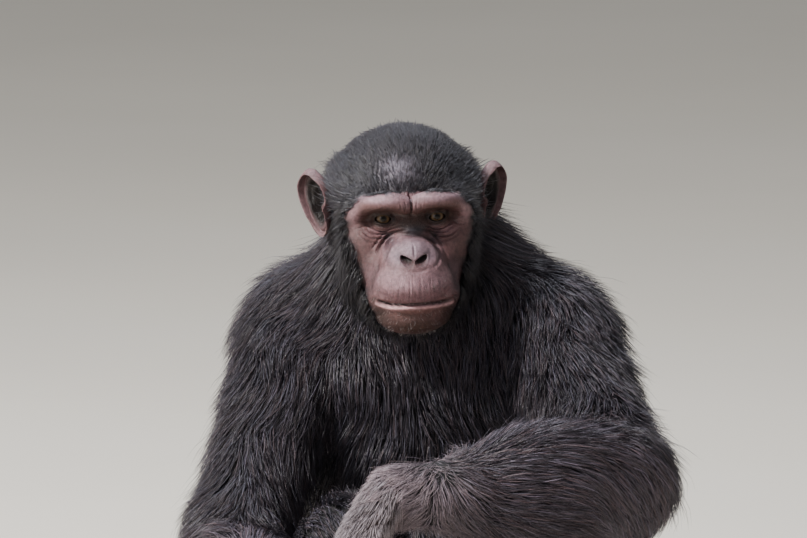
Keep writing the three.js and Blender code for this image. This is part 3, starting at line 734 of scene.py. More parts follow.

# %% [markdown]
# ## Tones of the face
# A chimpanzee's bare face is not one colour. The brow and the muzzle are pale, the bridge of
# the nose is grey, and the skin round the eyes is dark, with painted shade under the brow and in
# the sockets. Each tone is a soft spot laid on the skin and kept as a colour attribute, as an
# airbrush would lay it. Folds, the line of the mouth and the nostrils get painted shade inside.

# %% Painted tones


def linear(text):
    parts = [int(text[i : i + 2], 16) / 255 for i in (1, 3, 5)]
    return [c / 12.92 if c <= 0.04045 else ((c + 0.055) / 1.055) ** 2.4 for c in parts]


def mix_tone(tone, colour, share):
    return tone * (1 - share) + np.array(linear(colour)) * share


# The last tone is painted shade for the gap between the lips and inside the nostrils.
BARE_TONE, LIP_TONE, RECESS_SHADE_TONE = "#654a49", "#c8a09e", "#1c1413"
COAT_TONE, PAINTED_SHEEN_TONE = "#232024", "#716974"
FLUSH = at(1.02, 0.95, 1.0)
TONES = [
    # name, x, z, half width, half height, colour, strength, mirrored
    ("cheek edge", 50, -24, 14, 26, "#513b39", 0.8, True),
    ("low cheek", 42, -52, 11, 20, "#3c2b2a", 0.9, True),
    ("brow", 27, 21.5, 24, 4.4, "#8f777c", 1.0, True),
    ("brow end", 53, 6, 6, 12, "#876c6e", 0.9, True),
    ("brow middle", 4, 17, 6, 6, "#785f62", 0.8, True),
    # The tones under the brow and in the sockets are painted shade of the overhanging brow.
    ("under the brow", 26, 9, 20, 5.5, "#42302a", 0.9, True),
    ("between the eyes", 5, -2, 11, 10, "#32241f", 0.9, True),
    ("socket", 28, 0, 19, 8.5, "#35251f", 1.0, True),
    ("lids", 25.4, 0, 12.5, 7.0, "#17100e", 1.0, True),
    ("under the eye", 31, -13, 12, 4.5, "#775b5c", 0.8, True),
    ("bridge", 4, -10, 14, 5, "#2a282c", 1.0, False),
    ("bridge side", 22, -17, 6, 6, "#3a2f33", 0.8, True),
    ("nose top", 0, -23, 15, 8, "#85757c", 1.0, False),
    ("nose side", 15, -30, 12, 9, "#7f6e75", 0.9, True),
    ("muzzle", 16, -52, 24, 13, "#846a6e", 1.0, True),
    ("lip", 14, -65, 22, 7, "#775c5f", 0.85, True),
    ("low lip", 0, -84, 30, 6, "#6a4c47", 0.9, False),
    ("chin", 0, -100, 34, 12, "#47352f", 1.0, False),
    ("jaw edge", 34, -90, 12, 16, "#3d2e2a", 1.0, True),
]
tone = np.tile(linear(BARE_TONE), (len(skin), 1))
for name, cx, cz, rx, rz, colour, strength, mirrored in TONES:
    for s in (1, -1) if mirrored else (1,):
        spot = np.exp(-((((x - cx * s) / rx) ** 2 + ((z - cz) / rz) ** 2) ** 1.4))
        share = (strength * spot)[:, None]
        tone = mix_tone(tone, colour, share)
# Painted shade: each pressed fold is painted darker inside.
crease = np.clip(-pressed / 1.4, 0, 1)[:, None]
tone *= 1 - 0.55 * crease
tone = mix_tone(tone, LIP_TONE, 0.9 * np.clip(lip_rim * facing, 0, 1)[:, None])
tone *= FLUSH
# Painted shade: a soft dark ring round each nostril.
tone *= 1 - 0.4 * ((1 - rise(off_pit, 1.1, 2.1)) * facing)[:, None]
# Painted shade: the gap between the lips and the nostril pits are painted nearly black.
dark = np.clip(mouth_gap + pit, 0, 1)[:, None] * facing[:, None]
tone = mix_tone(tone, RECESS_SHADE_TONE, dark)
print(len(TONES), "tones are painted on the face")

# %% Where the coat begins
FACE_EDGE_Z = [-125, -113, -104, -92, -76, -60, -46, -25, -10, 0, 7, 14, 20, 26, 40]
FACE_EDGE_X = [0, 12, 27, 37, 42, 45, 48, 54, 57.5, 58.5, 57, 53, 47, 38, 30]


def bareness(p):
    """1 on the bare face and 0 where the coat grows, with a soft edge."""
    edge = np.interp(p[:, 2], FACE_EDGE_Z, FACE_EDGE_X)
    wave = 1.3 * np.sin(p[:, 2] * 0.31) + 0.7 * np.sin(p[:, 2] * 0.83 + 1)
    inner = rise(edge - np.abs(p[:, 0]) + wave, -5.0, 5.0)
    wave = 0.8 * np.sin(p[:, 0] * 0.5) + 0.5 * np.sin(p[:, 0] * 1.3)
    seen = p[:, 2] + 0.2 * np.maximum(p[:, 1] + 82, 0)
    brow = 1 - rise(seen + 0.03 * np.abs(p[:, 0]) + wave, 25, 28)
    return inner * brow * rise(-p[:, 1], 34, 44) * rise(p[:, 2], -116, -108)


bare = bareness(skin)[:, None]
tone = mix_tone(tone, COAT_TONE, 1 - bare)


def thin_hair_and_sheen(p):
    """Where the forehead's hair is thin, and where a painted sheen lightens its skin and hairs."""
    spot = np.exp(-(((p[:, 0] + 10) / 19) ** 2) - ((p[:, 2] - 42) / 13) ** 2)
    return spot * rise(-p[:, 1], 10, 40)


# Painted sheen: the skin under the thin forehead hair is painted pale grey-violet.
tone = mix_tone(tone, PAINTED_SHEEN_TONE, 0.8 * thin_hair_and_sheen(skin)[:, None] * (1 - bare))


def paint(obj, name, values):
    """A colour for each point of a mesh, kept under a name that materials can read."""
    layer = obj.data.attributes.new(name, "FLOAT_COLOR", "POINT")
    full = np.column_stack([values, np.ones(len(values))]).astype(np.float32)
    layer.data.foreach_set("color", full.ravel())


paint(head, "Tone", tone)
print("bare share of the head's points:", bare.mean().round(2))

# %% [markdown]
# ## Eyes
# A chimpanzee's eye is dark all over: an amber iris in a brown white. The ball has a bulge for
# the cornea, so that a window's glint sits where it does on a living eye. One ball is a UV
# sphere with its pole at the pupil, which makes round rings for the iris.

# %% Eyeballs
IRIS_RADIUS, PUPIL_RADIUS = 6.6, 2.5
CORNEA_RISE, CORNEA_EDGE = 0.9, 0.8
GAZE = unit(at(0.01, -1, 0.03))


def eyeball(name, sign):
    deselect()
    bpy.ops.mesh.primitive_uv_sphere_add(segments=64, ring_count=48, radius=EYE_RADIUS * MM)
    made = bpy.context.object
    made.name = name + "_ball"
    p = points_of(made)
    off_axis = np.hypot(p[:, 0], p[:, 1])
    bulge = np.where(p[:, 2] > 0, 1 - rise(off_axis, 0, IRIS_RADIUS + CORNEA_EDGE), 0)
    p += unit(p) * (CORNEA_RISE * bulge)[:, None]
    turned_by = np.arctan2(p[:, 1], p[:, 0]) / (2 * math.pi)
    ring = np.column_stack([off_axis / EYE_RADIUS, turned_by, bulge])
    x_axis = unit(np.cross(UP, GAZE))
    axes = np.array([x_axis, np.cross(GAZE, x_axis), GAZE])
    centre = EYE_CENTRE * at(sign, 1, 1)
    set_points(made, from_head(p @ axes + centre))
    ring[p[:, 2] < 0, 0] = 1.0
    paint(made, "Ring", ring)
    smooth(made)
    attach(made, "root")
    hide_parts(name)
    return made


eyes = [eyeball("eye_left", 1), eyeball("eye_right", -1)]
print("iris is", IRIS_RADIUS * 2, "mm across")

# %% [markdown]
# ## Ears
# The ears are large, thin and bare, and they stand out from the head. A UV sphere is pressed
# into a shallow cup: its rings run from the bowl over the rolled rim to the back. Ridges that
# every ape's ear has are then raised: the helix, the antihelix and the little tragus.

# %% Ear shells
EAR_AT = at(83, 16, 5)
EAR_HALF_HEIGHT, EAR_HALF_WIDTH, EAR_OPEN_ANGLE, EAR_LEAN = 33, 19, 51, 12
# The bowl's tone is painted shade in the hollow of the ear.
EAR_RIM_TONE, EAR_BOWL_SHADE_TONE = "#72585b", "#140d0c"
EAR_PROFILE = [
    # how far out from the bowl's middle, and how far forward in mm, from the bowl to the back
    (0.0, -10),
    (0.3, -9),
    (0.5, -6),
    (0.62, 0),
    (0.76, 1),
    (0.86, 0),
    (0.93, 5),
    (1, 4),
    (1, 0),
    (0.88, -4),
    (0.66, -8),
    (0.4, -14),
    (0.0, -16),
]


def ear(name, sign):
    deselect()
    bpy.ops.mesh.primitive_uv_sphere_add(segments=112, ring_count=80, radius=MM)
    made = bpy.context.object
    made.name = name + "_shell"
    p = points_of(made)
    angle = np.arctan2(p[:, 1], p[:, 0])
    travel = np.arccos(np.clip(p[:, 2], -1, 1)) / math.pi * (len(EAR_PROFILE) - 1)
    line = smooth_line(EAR_PROFILE, 8)
    spots = np.linspace(0, len(EAR_PROFILE) - 1, len(line))
    share = np.interp(travel, spots, line[:, 0]).clip(0, 1)
    height = np.interp(travel, spots, line[:, 1])
    roll = rise(np.sin(angle), 0.1, 0.9) * np.exp(-(((travel - 6.7) / 1.2) ** 2))
    share = share - 0.17 * roll
    height = height + 4.5 * roll
    inner = 1 - rise(travel, 6.5, 7.5)
    lobe = 1 - 0.16 * np.maximum(-np.sin(angle), 0)
    wave = 1 + 0.025 * np.sin(3 * angle + 0.7) + 0.015 * np.sin(5 * angle)
    top = 1 + 0.14 * np.sin(angle)
    u = EAR_HALF_WIDTH * share * lobe * wave * top * np.cos(angle) - (1 - share) * 5
    w = EAR_HALF_HEIGHT * share * wave * np.sin(angle)
    low = rise(-w, 14, 26)
    height -= 3.5 * low * inner * rise(share, 0.8, 0.95)
    ridge, _ = to_line(u, w, [(-9, 15), (0, 14), (6, 5), (6, -7), (1, -14)])
    arm, _ = to_line(u, w, [(-2, 26), (3, 20), (6, 8)])
    height += inner * (3.2 * np.exp(-((ridge / 2.6) ** 2)) + 1.8 * np.exp(-((arm / 2.2) ** 2)))
    tragus = np.hypot((u + 14) / 3.4, (w + 4) / 5.0)
    height += inner * 6.0 * np.exp(-(tragus**2))
    hollow = np.hypot((u + 4) / 6.5, (w + 3) / 9.5)
    height -= inner * 2.0 * np.exp(-(hollow**4))
    groove = np.exp(-(((share - 0.84) / 0.05) ** 2)) * rise(w, -16, -4)
    height -= inner * 1.8 * groove
    a = math.radians(EAR_OPEN_ANGLE)
    across, outward = at(math.cos(a), math.sin(a), 0), at(math.sin(a), -math.cos(a), 0)
    lean = math.tan(math.radians(EAR_LEAN))
    u = u + w * lean
    q = EAR_AT + u[:, None] * across + w[:, None] * UP + height[:, None] * outward
    q[:, 0] *= sign
    set_points(made, from_head(q))
    turn_outward(made)
    # The bowl is painted nearly black as painted shade; the rim keeps the skin's tone.
    rim_tone, bowl_shade = np.array(linear(EAR_RIM_TONE)), np.array(linear(EAR_BOWL_SHADE_TONE))
    light = np.maximum(rise(share, 0.55, 0.95), 0.45 * (1 - inner))[:, None]
    paint(made, "Tone", bowl_shade + (rim_tone - bowl_shade) * light)
    smooth(made)
    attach(made, "root")
    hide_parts(name)
    return made


ears = [ear("ear_left", 1), ear("ear_right", -1)]
print("ears are", 2 * EAR_HALF_HEIGHT, "mm high")

# %% [markdown]
# ## Hands
# A chimpanzee's hand is long and narrow, with a short thumb set low. Palm and fingers are
# tubes again: the palm blends into the fingers, but the fingers only touch each other, so the
# gaps between them stay. Knuckles are thicker than the bones between them, and the skin over
# each knuckle folds in fine rings, which are pressed in along the back of the finger.

# %% Fingers and palms
FINGER, THUMB = (42, 30, 22), (30, 24)
KNUCKLE_PLACES, FINGER_SHARES = (-29, -10, 9, 27), (0.9, 1, 1.03, 0.9)
FINGER_RADIUS, THUMB_RADIUS = 8.7, 9
HANDS = {
    # direction of the palm, direction across the knuckles, bends of the fingers and the thumb
    "left": ((-52, -30, -86), (-30, 90, -10), (-18, -26, -18), (-10, -14)),
    "right": ((4, -14, -78), (90, 10, 0), (-18, 118, 58), (10, 10)),
}


def digit(root, direction, hinge, bones, bends, radius):
    """A finger or toe, thicker at its knuckles, with the place and frame of its nail."""
    way = unit(direction)
    stations = [(root - way * 6, radius, radius), (root, radius * 1.04, radius * 1.04)]
    place = root
    for i, (bone, bend) in enumerate(zip(bones, bends)):
        way = about(hinge, bend) @ way
        waist = radius * (0.97 - 0.06 * i)
        knuckle = radius * (1.04 - 0.06 * (i + 1))
        stations.append((place + way * bone * 0.5, waist, waist * 0.96))
        place = place + way * bone
        stations.append((place, knuckle, knuckle * 0.95))
    t = tube(stations, hinge, steps=6)
    t["joints"] = [2 * k + 1 for k in range(1, len(bones))]
    t["stretch"] = len(stations) - 1
    back = unit(np.cross(way, hinge)) * (1 if sum(bends) >= 0 else -1)
    t["nail"] = (place - way * radius * 0.25, way, unit(hinge), back, radius)
    return t


def hand_tubes(side):
    down, across, bends, thumb_bends = HANDS[side]
    wrist = joints[side]["wrist"]
    way = unit(at(*down))
    edge = unit(at(*across) - way * (at(*across) @ way))
    palm = tube(
        [
            (wrist - way * 8, 22, 16),
            (wrist, 25, 17),
            (wrist + way * PALM * 0.5, 35, 16.5),
            (wrist + way * PALM * 0.9, 37.5, 14),
        ],
        edge,
    )
    fingers = []
    for offset, share in zip(KNUCKLE_PLACES, FINGER_SHARES):
        root = wrist + way * PALM * 0.86 + edge * offset
        bones = [bone * share for bone in FINGER]
        fingers.append(digit(root, way + edge * offset * 0.002, edge, bones, bends, FINGER_RADIUS))
    root = wrist + way * PALM * 0.28 + edge * 24
    thumb = digit(root, way + edge * 0.75, edge, THUMB, thumb_bends, THUMB_RADIUS)
    return palm, [*fingers, thumb]


# %% Skin, knuckle rings and nails of a hand or a foot


def limb_end_field(main, digits, width):
    def field(points):
        d = to_tube(points, main[0])
        for t in main[1:]:
            d = blend(d, to_tube(points, t), 14)
        tips = np.full(len(points), FAR)
        for t in digits:
            tips = blend(tips, to_tube(points, t), 1.0)
        return blend(d, tips, width)

    return field


def knuckle_rings(points, digits, deep=0.5, pitch=3.2):
    """How deep the skin folds at each point: fine rings round the back of every joint."""
    dip = np.zeros(len(points))
    for t in digits:
        d, share, angle, _ = to_tube(points, t, True)
        at_station = share * t["stretch"]
        back = 0.5 + 0.5 * np.sin(angle) * (1 if t["front"][0] @ t["nail"][3] > 0 else -1)
        for joint in t["joints"]:
            off = (at_station - joint) * t["length"] / t["stretch"]
            near = np.exp(-((off / 7) ** 2)) * (d < 1.5)
            dip -= deep * near * back * (0.5 + 0.5 * np.cos(off * 2 * math.pi / pitch))
    return dip


def nails(name, digits):
    """A curved plate on the back of each tip, from a sphere pressed flat and cut off behind."""
    parts = []
    for t in digits:
        place, way, hinge, back, radius = t["nail"]
        made = ball((0, 0, 0), (1, 1, 1), 20, 12)
        p = points_of(made)
        p[:, 1] = np.where(p[:, 1] > 0.75, 0.75, p[:, 1])
        p *= at(radius * 0.62, radius * 0.85, radius * 0.34)
        p[:, 2] -= p[:, 0] ** 2 * 0.06
        frame_of = np.array([hinge, way, back])
        set_points(made, p @ frame_of + place + back * radius * 0.55 + way * radius * 0.35)
        made.scale = (1, 1, 1)
        parts.append(made)
    whole = join_all(name, parts)
    turn_outward(whole)
    smooth(whole)
    set_points(whole, above_floor(points_of(whole)))
    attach(whole, "root")
    return whole


def limb_end_skin(name, main, digits, voxel, width):
    """A hand or foot: its tubes fused to one skin, with fine rings pressed in at the joints."""
    made = clay(f"{name}_skin", [*main, *digits], [], voxel, limb_end_field(main, digits, width))
    points = points_of(made)
    bpy.context.view_layer.update()
    points = points + normals_of(made) * knuckle_rings(points, digits)[:, None]
    set_points(made, above_floor(points))
    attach(made, "root")
    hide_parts(name)
    return made


# %% Both hands
HAND_VOXEL, HAND_BLEND = 1.7, 7
skins_of_hands, nail_pieces = [], []
for side in ("left", "right"):
    palm, digits = hand_tubes(side)
    made = limb_end_skin(f"hand_{side}", [palm], digits, HAND_VOXEL, HAND_BLEND)
    skins_of_hands.append(made)
    nail_pieces.append(nails(f"hand_{side}_nails", digits))
print("palms are", PALM, "mm long")

# %% [markdown]
# ## Feet
# The foot stands flat and can grip: its big toe is set apart like a thumb. Sole, instep and
# toes are made the same way as the hands, and everything below the floor is pressed flat,
# as the sole of a heavy animal is.

# %% Soles and toes
TOE, BIG_TOE = (26, 18, 14), (34, 28)
TOE_PLACES, TOE_SHARES = (-27, -10, 7, 23), (0.85, 0.95, 1, 1)
TOE_RADIUS, BIG_TOE_RADIUS = 8.8, 12
FOOT_VOXEL, FOOT_BLEND = 2.0, 8
# Direction of the toes, and the side where the big toe stands
FEET = {"left": ((0.12, -1, 0), (-1, -0.12, 0)), "right": ((0.04, -1, 0), (1, 0.04, 0))}


def foot_tubes(side):
    ahead, inward = unit(at(*FEET[side][0])), unit(at(*FEET[side][1]))
    ankle = joints[side]["ankle"] * at(1, 1, 0)

    def on_floor(forward, sideways, height):
        return ankle + ahead * forward + inward * sideways + UP * height

    sole = tube(
        [
            (on_floor(-34, -2, 23), 22, 24),
            (on_floor(-8, -1, 28), 26, 29),
            (on_floor(40, 0, 24), 32, 25),
            (on_floor(92, 0, 15), 39, 16),
            (on_floor(110, -1, 11), 35, 12),
        ],
        inward,
    )
    instep = tube(
        [(on_floor(-6, 0, 78), 24, 26), (on_floor(0, 0, 56), 25, 28), (on_floor(14, 0, 34), 26, 29)],
        inward,
    )
    toes = []
    for offset, share in zip(TOE_PLACES, TOE_SHARES):
        way = ahead + inward * offset * 0.003
        bones = [bone * share for bone in TOE]
        toes.append(digit(on_floor(106, offset, 10), way, inward, bones, (0, 0, 0), TOE_RADIUS))
    way = ahead + inward * 0.8
    big = digit(on_floor(44, 24, 13), way, inward, BIG_TOE, (0, 0), BIG_TOE_RADIUS)
    return [sole, instep], [*toes, big]


skins_of_feet = []
for side in ("left", "right"):
    main, toes = foot_tubes(side)
    skins_of_feet.append(limb_end_skin(f"foot_{side}", main, toes, FOOT_VOXEL, FOOT_BLEND))
    for t in toes:
        place, way, hinge, back, radius = t["nail"]
        if back[2] < 0:
            t["nail"] = (place, way, hinge, -back, radius)
    nail_pieces.append(nails(f"foot_{side}_nails", toes))
print("both feet stand at", FLOOR_GAP, "mm")

# %% [markdown]
# ## The lie of the coat
# Hair does not stand straight out: it lies along the body and points away from the face, down
# the neck and trunk, down the upper arm, and back along the forearm towards the elbow. So each
# point of the skin first gets a direction. Directions of neighbouring limbs are mixed by
# distance and then smoothed, which gives the gentle swirls at the shoulders and knees.

# %% Directions on the skin
rng = np.random.default_rng(7)
CHEEK_SOURCE = at(0, -80, 6)


def flat_to(normals, ways):
    return unit(ways - normals * (ways * normals).sum(1)[:, None])


def body_lie(points, normals):
    total = np.zeros_like(points)
    for name, t in tubes.items():
        d, share, angle, along = to_tube(points, t, True)
        weight = np.exp(-np.clip(d, 0, 90) / 8)
        way = along * t["way"]
        if name == "forearm_left":
            turned = rise(share, 0.7, 0.95)[:, None]
            way = along * (t["way"] + 2.0 * turned) - at(0, 0.9, 1) * 3.6 * turned * (1 - turned)
        if "arm" in name:
            to_elbow = np.linalg.norm(points - joints[name.split("_")[-1]]["elbow"], axis=1)
            way = unit(way - UP * (0.3 + 1.3 * (1 - rise(to_elbow, 40, 90)))[:, None])
        if name in ("torso", "neck"):
            centre = t["centres"][(share * (len(t["centres"]) - 1)).astype(int)]
            away = (points - centre) * at(1, 1, 0)
            way = unit(way + unit(away) * (0.9 if name == "neck" else 0.35))
        total += weight[:, None] * way
    return flat_to(normals, total)


def head_lie(points, normals):
    """Points and normals in the head's own frame."""
    away = unit(points - CHEEK_SOURCE)
    low = rise(-points[:, 2], -14, 34)[:, None]
    behind = rise(points[:, 1], 0, 60)[:, None]
    down = at(0, 0.22, -1) + np.sign(points[:, :1]) * at(0.25, 0, 0)
    way = away * (1 - low) + down * low
    way = way * (1 - 0.7 * behind) + at(0, 0, -1) * 0.7 * behind
    return flat_to(normals, way)


# %% Guides on the body and the head
bpy.context.view_layer.update()
body_points, body_normals = points_of(body_skin), normals_of(body_skin)
body_way = body_lie(body_points, body_normals)
body_way = flat_to(body_normals, spread(body_way, edges_of(body_skin), 10))
head_points, head_normals = points_of(head), normals_of(head)
own_points, own_normals = to_head(head_points), head_normals @ HEAD_TURN
head_way = head_lie(own_points, own_normals) @ HEAD_TURN.T
hair_on_head = 1 - bareness(own_points)
HIDDEN_UNDER = -1.5
in_head = head_field(to_head(body_points)) < HIDDEN_UNDER
in_body = np.zeros(len(head_points), bool)
low_part = own_points[:, 2] < 10
in_body[low_part] = body_field(head_points[low_part], ("neck", "torso")) < HIDDEN_UNDER

guide_points = np.vstack([body_points[~in_head], head_points[~in_body][::2]])
guide_normals = np.vstack([body_normals[~in_head], head_normals[~in_body][::2]])
guide_ways = np.vstack([body_way[~in_head], head_way[~in_body][::2]])


def near_finder(points):
    tree = kdtree.KDTree(len(points))
    for i, p in enumerate(points.tolist()):
        tree.insert(p, i)
    tree.balance()
    return lambda spots: np.fromiter((tree.find(p)[1] for p in spots.tolist()), int, len(spots))


# %% Guides on the backs of the hands
hand_parts = []
for side, skin_of_hand in zip(("left", "right"), skins_of_hands):
    palm, digits = hand_tubes(side)
    points, normals = points_of(skin_of_hand), normals_of(skin_of_hand)
    way, back = palm["centres"][-1] - joints[side]["wrist"], digits[1]["nail"][3]
    along = (points - joints[side]["wrist"]) @ unit(way) / PALM
    lie = flat_to(normals, np.tile(unit(way) + UP * -0.25, (len(points), 1)))
    furry = rise(normals @ back, -0.7, -0.1) * (1 - rise(along, 0.8, 1.3))
    hand_parts.append((side, skin_of_hand, points, normals, along, furry))
    guide_points = np.vstack([guide_points, points])
    guide_normals = np.vstack([guide_normals, normals])
    guide_ways = np.vstack([guide_ways, lie])
nearest_guide = near_finder(guide_points)
print(len(guide_points), "guides for the lie of the coat")

# %% [markdown]
# ## Roots
# Hairs grow from follicles, so each tuft starts at a random spot of the skin, with more of
# them where the coat is thick. Every part of the body has its own length, thickness and lift,
# measured in millimetres, as the real coat has: short on the head, long on the shoulders.

# %% Length, width and lift of each part's hair
COAT = {
    # length, width, lift at the tip, long hairs for each square centimetre
    "torso": (60, 0.86, 19, 6.2),
    "neck": (62, 0.78, 20, 10.0),
    "upper_arm": (58, 0.78, 20, 10.5),
    "forearm": (42, 0.72, 13, 13.5),
    "thigh": (46, 0.95, 13, 5.0),
    "shank": (36, 0.85, 9, 5.8),
}
SHARE_SHOWN = 1.0
MM2_IN_CM2 = 100
part_names = list(tubes)


def triangles_of(obj):
    obj.data.calc_loop_triangles()
    out = np.empty(len(obj.data.loop_triangles) * 3, int)
    obj.data.loop_triangles.foreach_get("vertices", out)
    return out.reshape(-1, 3)


def scatter(points, triangles, per_cm2, keep):
    """Random roots with a given number for each square centimetre, as corner mixes."""
    a, b, c = (points[triangles[:, k]] for k in range(3))
    area = np.linalg.norm(np.cross(b - a, c - a), axis=1) / 2 / MM2_IN_CM2
    want = area * per_cm2[triangles].mean(1) * keep[triangles].all(1)
    count = int(want.sum() * SHARE_SHOWN)
    pick = rng.choice(len(triangles), count, p=want / want.sum())
    s, t = rng.random(count), rng.random(count)
    fold = s + t > 1
    s[fold], t[fold] = 1 - s[fold], 1 - t[fold]
    mix = np.column_stack([1 - s - t, s, t])
    return triangles[pick], mix


def mixed(values, corners, mix):
    return (values[corners] * mix[..., None]).sum(1)


# %% Roots on the body
distances = np.column_stack([to_tube(body_points, t) for t in tubes.values()])
owner = distances.argmin(1)
kinds = [next(k for k in COAT if name.startswith(k)) for name in part_names]
looks = np.array([COAT[k] for k in kinds])[owner]
looks = spread(looks, edges_of(body_skin), 12)

# Where another limb lies close over the skin, fewer and shorter hairs grow
PROBE_OUT, PROBE_CLEAR, BURIED_SHARE = 16, 6, 0.35
open_air = np.ones(len(body_points))
probe = body_points + body_normals * PROBE_OUT
open_air[body_field(probe) < PROBE_CLEAR] = BURIED_SHARE
wrists = np.array([joints[s][j] for s in joints for j in ("wrist", "ankle")])
to_wrist = np.linalg.norm(body_points[:, None] - wrists, axis=2).min(1)
shorter = 0.5 + 0.5 * rise(to_wrist, 10, 70)
looks[:, 3] *= 1.9 - 0.9 * rise(to_wrist, 20, 60)
on_floor = body_points[:, 2] < 3
shorter = shorter * (0.7 + 0.3 * open_air)
looks[:, 3] *= open_air


def rooted(points, normals, corners, mix, look):
    """Roots at the picked spots, each with the skin's outward direction and its own looks."""
    return {
        "root": mixed(points, corners, mix),
        "out": unit(mixed(normals, corners, mix)),
        "look": look,
        "short": np.ones(len(mix)),
    }


def roots_on_body():
    corners, mix = scatter(body_points, triangles_of(body_skin), looks[:, 3], ~in_head & ~on_floor)
    roots = rooted(body_points, body_normals, corners, mix, mixed(looks, corners, mix))
    roots["short"], roots["owner"] = shorter[corners[:, 0]], owner[corners[:, 0]]
    return roots


body_roots = roots_on_body()
under_roots = roots_on_body()
print(len(body_roots["root"]), "long and", len(under_roots["root"]), "short hairs on the body")

# %% Roots on the head: short and flat over the skull, longer at the cheeks and nape
EAR_ROOT = at(74, 20, 4)
cheek = rise(-own_points[:, 2], -6, 46)
nape = rise(own_points[:, 1], 30, 70)
crown = rise(own_points[:, 2], 36, 62)
temple = rise(np.abs(own_points[:, 0]), 46, 62) * (1 - rise(own_points[:, 1], 22, 44))
side_full = np.maximum(temple, cheek)
behind = rise(own_points[:, 1], -20, 30)
back_full = np.maximum(side_full, behind)
head_length = 14 + 10 * np.maximum(crown, behind) + 10 * nape + (22 - 6 * crown) * side_full
beside = np.column_stack([np.abs(own_points[:, 0]), own_points[:, 1:]])
ear_gap = np.linalg.norm(beside - EAR_ROOT, axis=1)
head_length *= 0.42 + 0.58 * rise(ear_gap, 14, 34)
head_length *= 0.5 + 0.5 * rise(hair_on_head, 0.2, 1.0) * rise(np.abs(own_points[:, 1] + 62), 0, 26)
head_lift = 1.8 + 3.6 * np.maximum(crown, behind) + 4 * nape + 11 * side_full
head_looks = np.column_stack([head_length, 0.44 + 0.34 * back_full, head_lift, 62 - 30 * back_full])
head_looks[:, 3] *= 1 - 0.6 * thin_hair_and_sheen(own_points)
head_looks[:, 3] *= rise(hair_on_head, 0.15, 0.7)
hairy = (hair_on_head > 0.2) & ~in_body
corners, mix = scatter(head_points, triangles_of(head), head_looks[:, 3], hairy)
head_roots = rooted(head_points, head_normals, corners, mix, mixed(head_looks, corners, mix))
print(len(head_roots["root"]), "hairs on the head")

# %% [markdown]
# ## Growing the tufts
# From its root a long tuft takes three steps along the lie of the coat, and a short one two.
# It rises a little at each step, so that the tips lie over the roots of the next hairs. Then
# hairs are drawn towards a leader near them, most at the tips. That makes the pointed wisps a
# real coat falls into.
# Particle hair would do the same, but only solid mesh is kept when the model is exported.

# %% Paths of the tufts
LONG_STOPS = np.array([0.0, 0.36, 0.7, 1.0])
SHORT_STOPS = np.array([0.0, 0.5, 1.0])
ROOT_DEPTH, SKIN_GAP, HAIR_FLOOR = 1.2, 0.6, 1.5
WILD_SHARE, WILD_LIFT = 0.05, 1.9
SWIRL = ((0.021, 0.013, 0.017), (0.008, 0.026, 0.011), (0.015, 0.009, 0.029))


def swirl(points):
    """A slow wave over the body, in radians, that turns whole patches of hair together."""
    return sum(np.sin(points @ at(*w) * 2.2 + 1.7 * k) for k, w in enumerate(SWIRL)) * 0.16


def grow(roots, stops, patch, loose, length_share=1.0):
    """The path of each tuft, and the skin's outward direction at each of its points."""
    root, out, look = roots["root"], roots["out"], roots["look"]
    count = len(root)
    length = look[:, 0] * roots["short"] * rng.uniform(0.6, 1.2, count) * length_share
    lift = look[:, 2] * roots["short"] * rng.uniform(0.35, 1.2, count) * length_share
    wild = rng.random(count) < WILD_SHARE
    lift[wild] *= WILD_LIFT
    yaw = swirl(root) + rng.normal(0, loose, count)
    path = np.empty((count, len(stops), 3))
    outs = np.empty_like(path)
    path[:, 0] = root - out * ROOT_DEPTH
    outs[:, 0] = out
    here, way = root, None
    for k in range(1, len(stops)):
        near = nearest_guide(here)
        n, f = guide_normals[near], guide_ways[near]
        f = f * np.cos(yaw)[:, None] + np.cross(n, f) * np.sin(yaw)[:, None]
        way = f if way is None else unit(0.45 * way + 0.55 * f)
        here = here + way * (length * (stops[k] - stops[k - 1]))[:, None]
        near = nearest_guide(here)
        n = guide_normals[near]
        up = ((here - guide_points[near]) * n).sum(1)
        want = lift * stops[k] ** 1.15 + SKIN_GAP
        here = here + n * (want - up)[:, None]
        here[:, 2] = np.maximum(here[:, 2], HAIR_FLOOR)
        path[:, k], outs[:, k] = here, n
    for every, pull in patch:
        leaders = rng.choice(count, max(2, count // every), replace=False)
        find = near_finder(root[leaders])
        mine = leaders[find(root)]
        strength = pull * rng.uniform(0.5, 1.0, count)
        for k in range(1, len(stops)):
            share = (strength * stops[k] ** 1.4)[:, None]
            path[:, k] += (path[mine, k] - path[:, k]) * share
    path[:, 1:, 2] = np.maximum(path[:, 1:, 2], HAIR_FLOOR)
    return path, outs


# %% [markdown]
# ## Solid hairs
# Each tuft becomes a closed three-sided spike: two corners on the skin's side and a ridge
# above them, narrowing to a point. Twelve triangles are enough for a long tuft and six for a
# short one, because light catches the ridge as it does a wisp of hair. A small patch of UV at
# its root's place goes with each one.

# %% Spikes from paths
# The share of the width at each ring, for paths of four and of three points
WAIST = {4: (1.0, 0.74), 3: (1.0,)}
FLATNESS = 0.42
UV_PATCH = 0.003
ROOT_SHADE, TIP_LIGHT = 0.75, 0.5
# Few hairs are pale: how often each tone is drawn
HAIR_TONES = [linear(c) for c in ("#29252b", "#362f36", "#45393d", "#3e3b45", "#514b58")]
HAIR_CHANCES = [0.3, 0.3, 0.16, 0.18, 0.06]


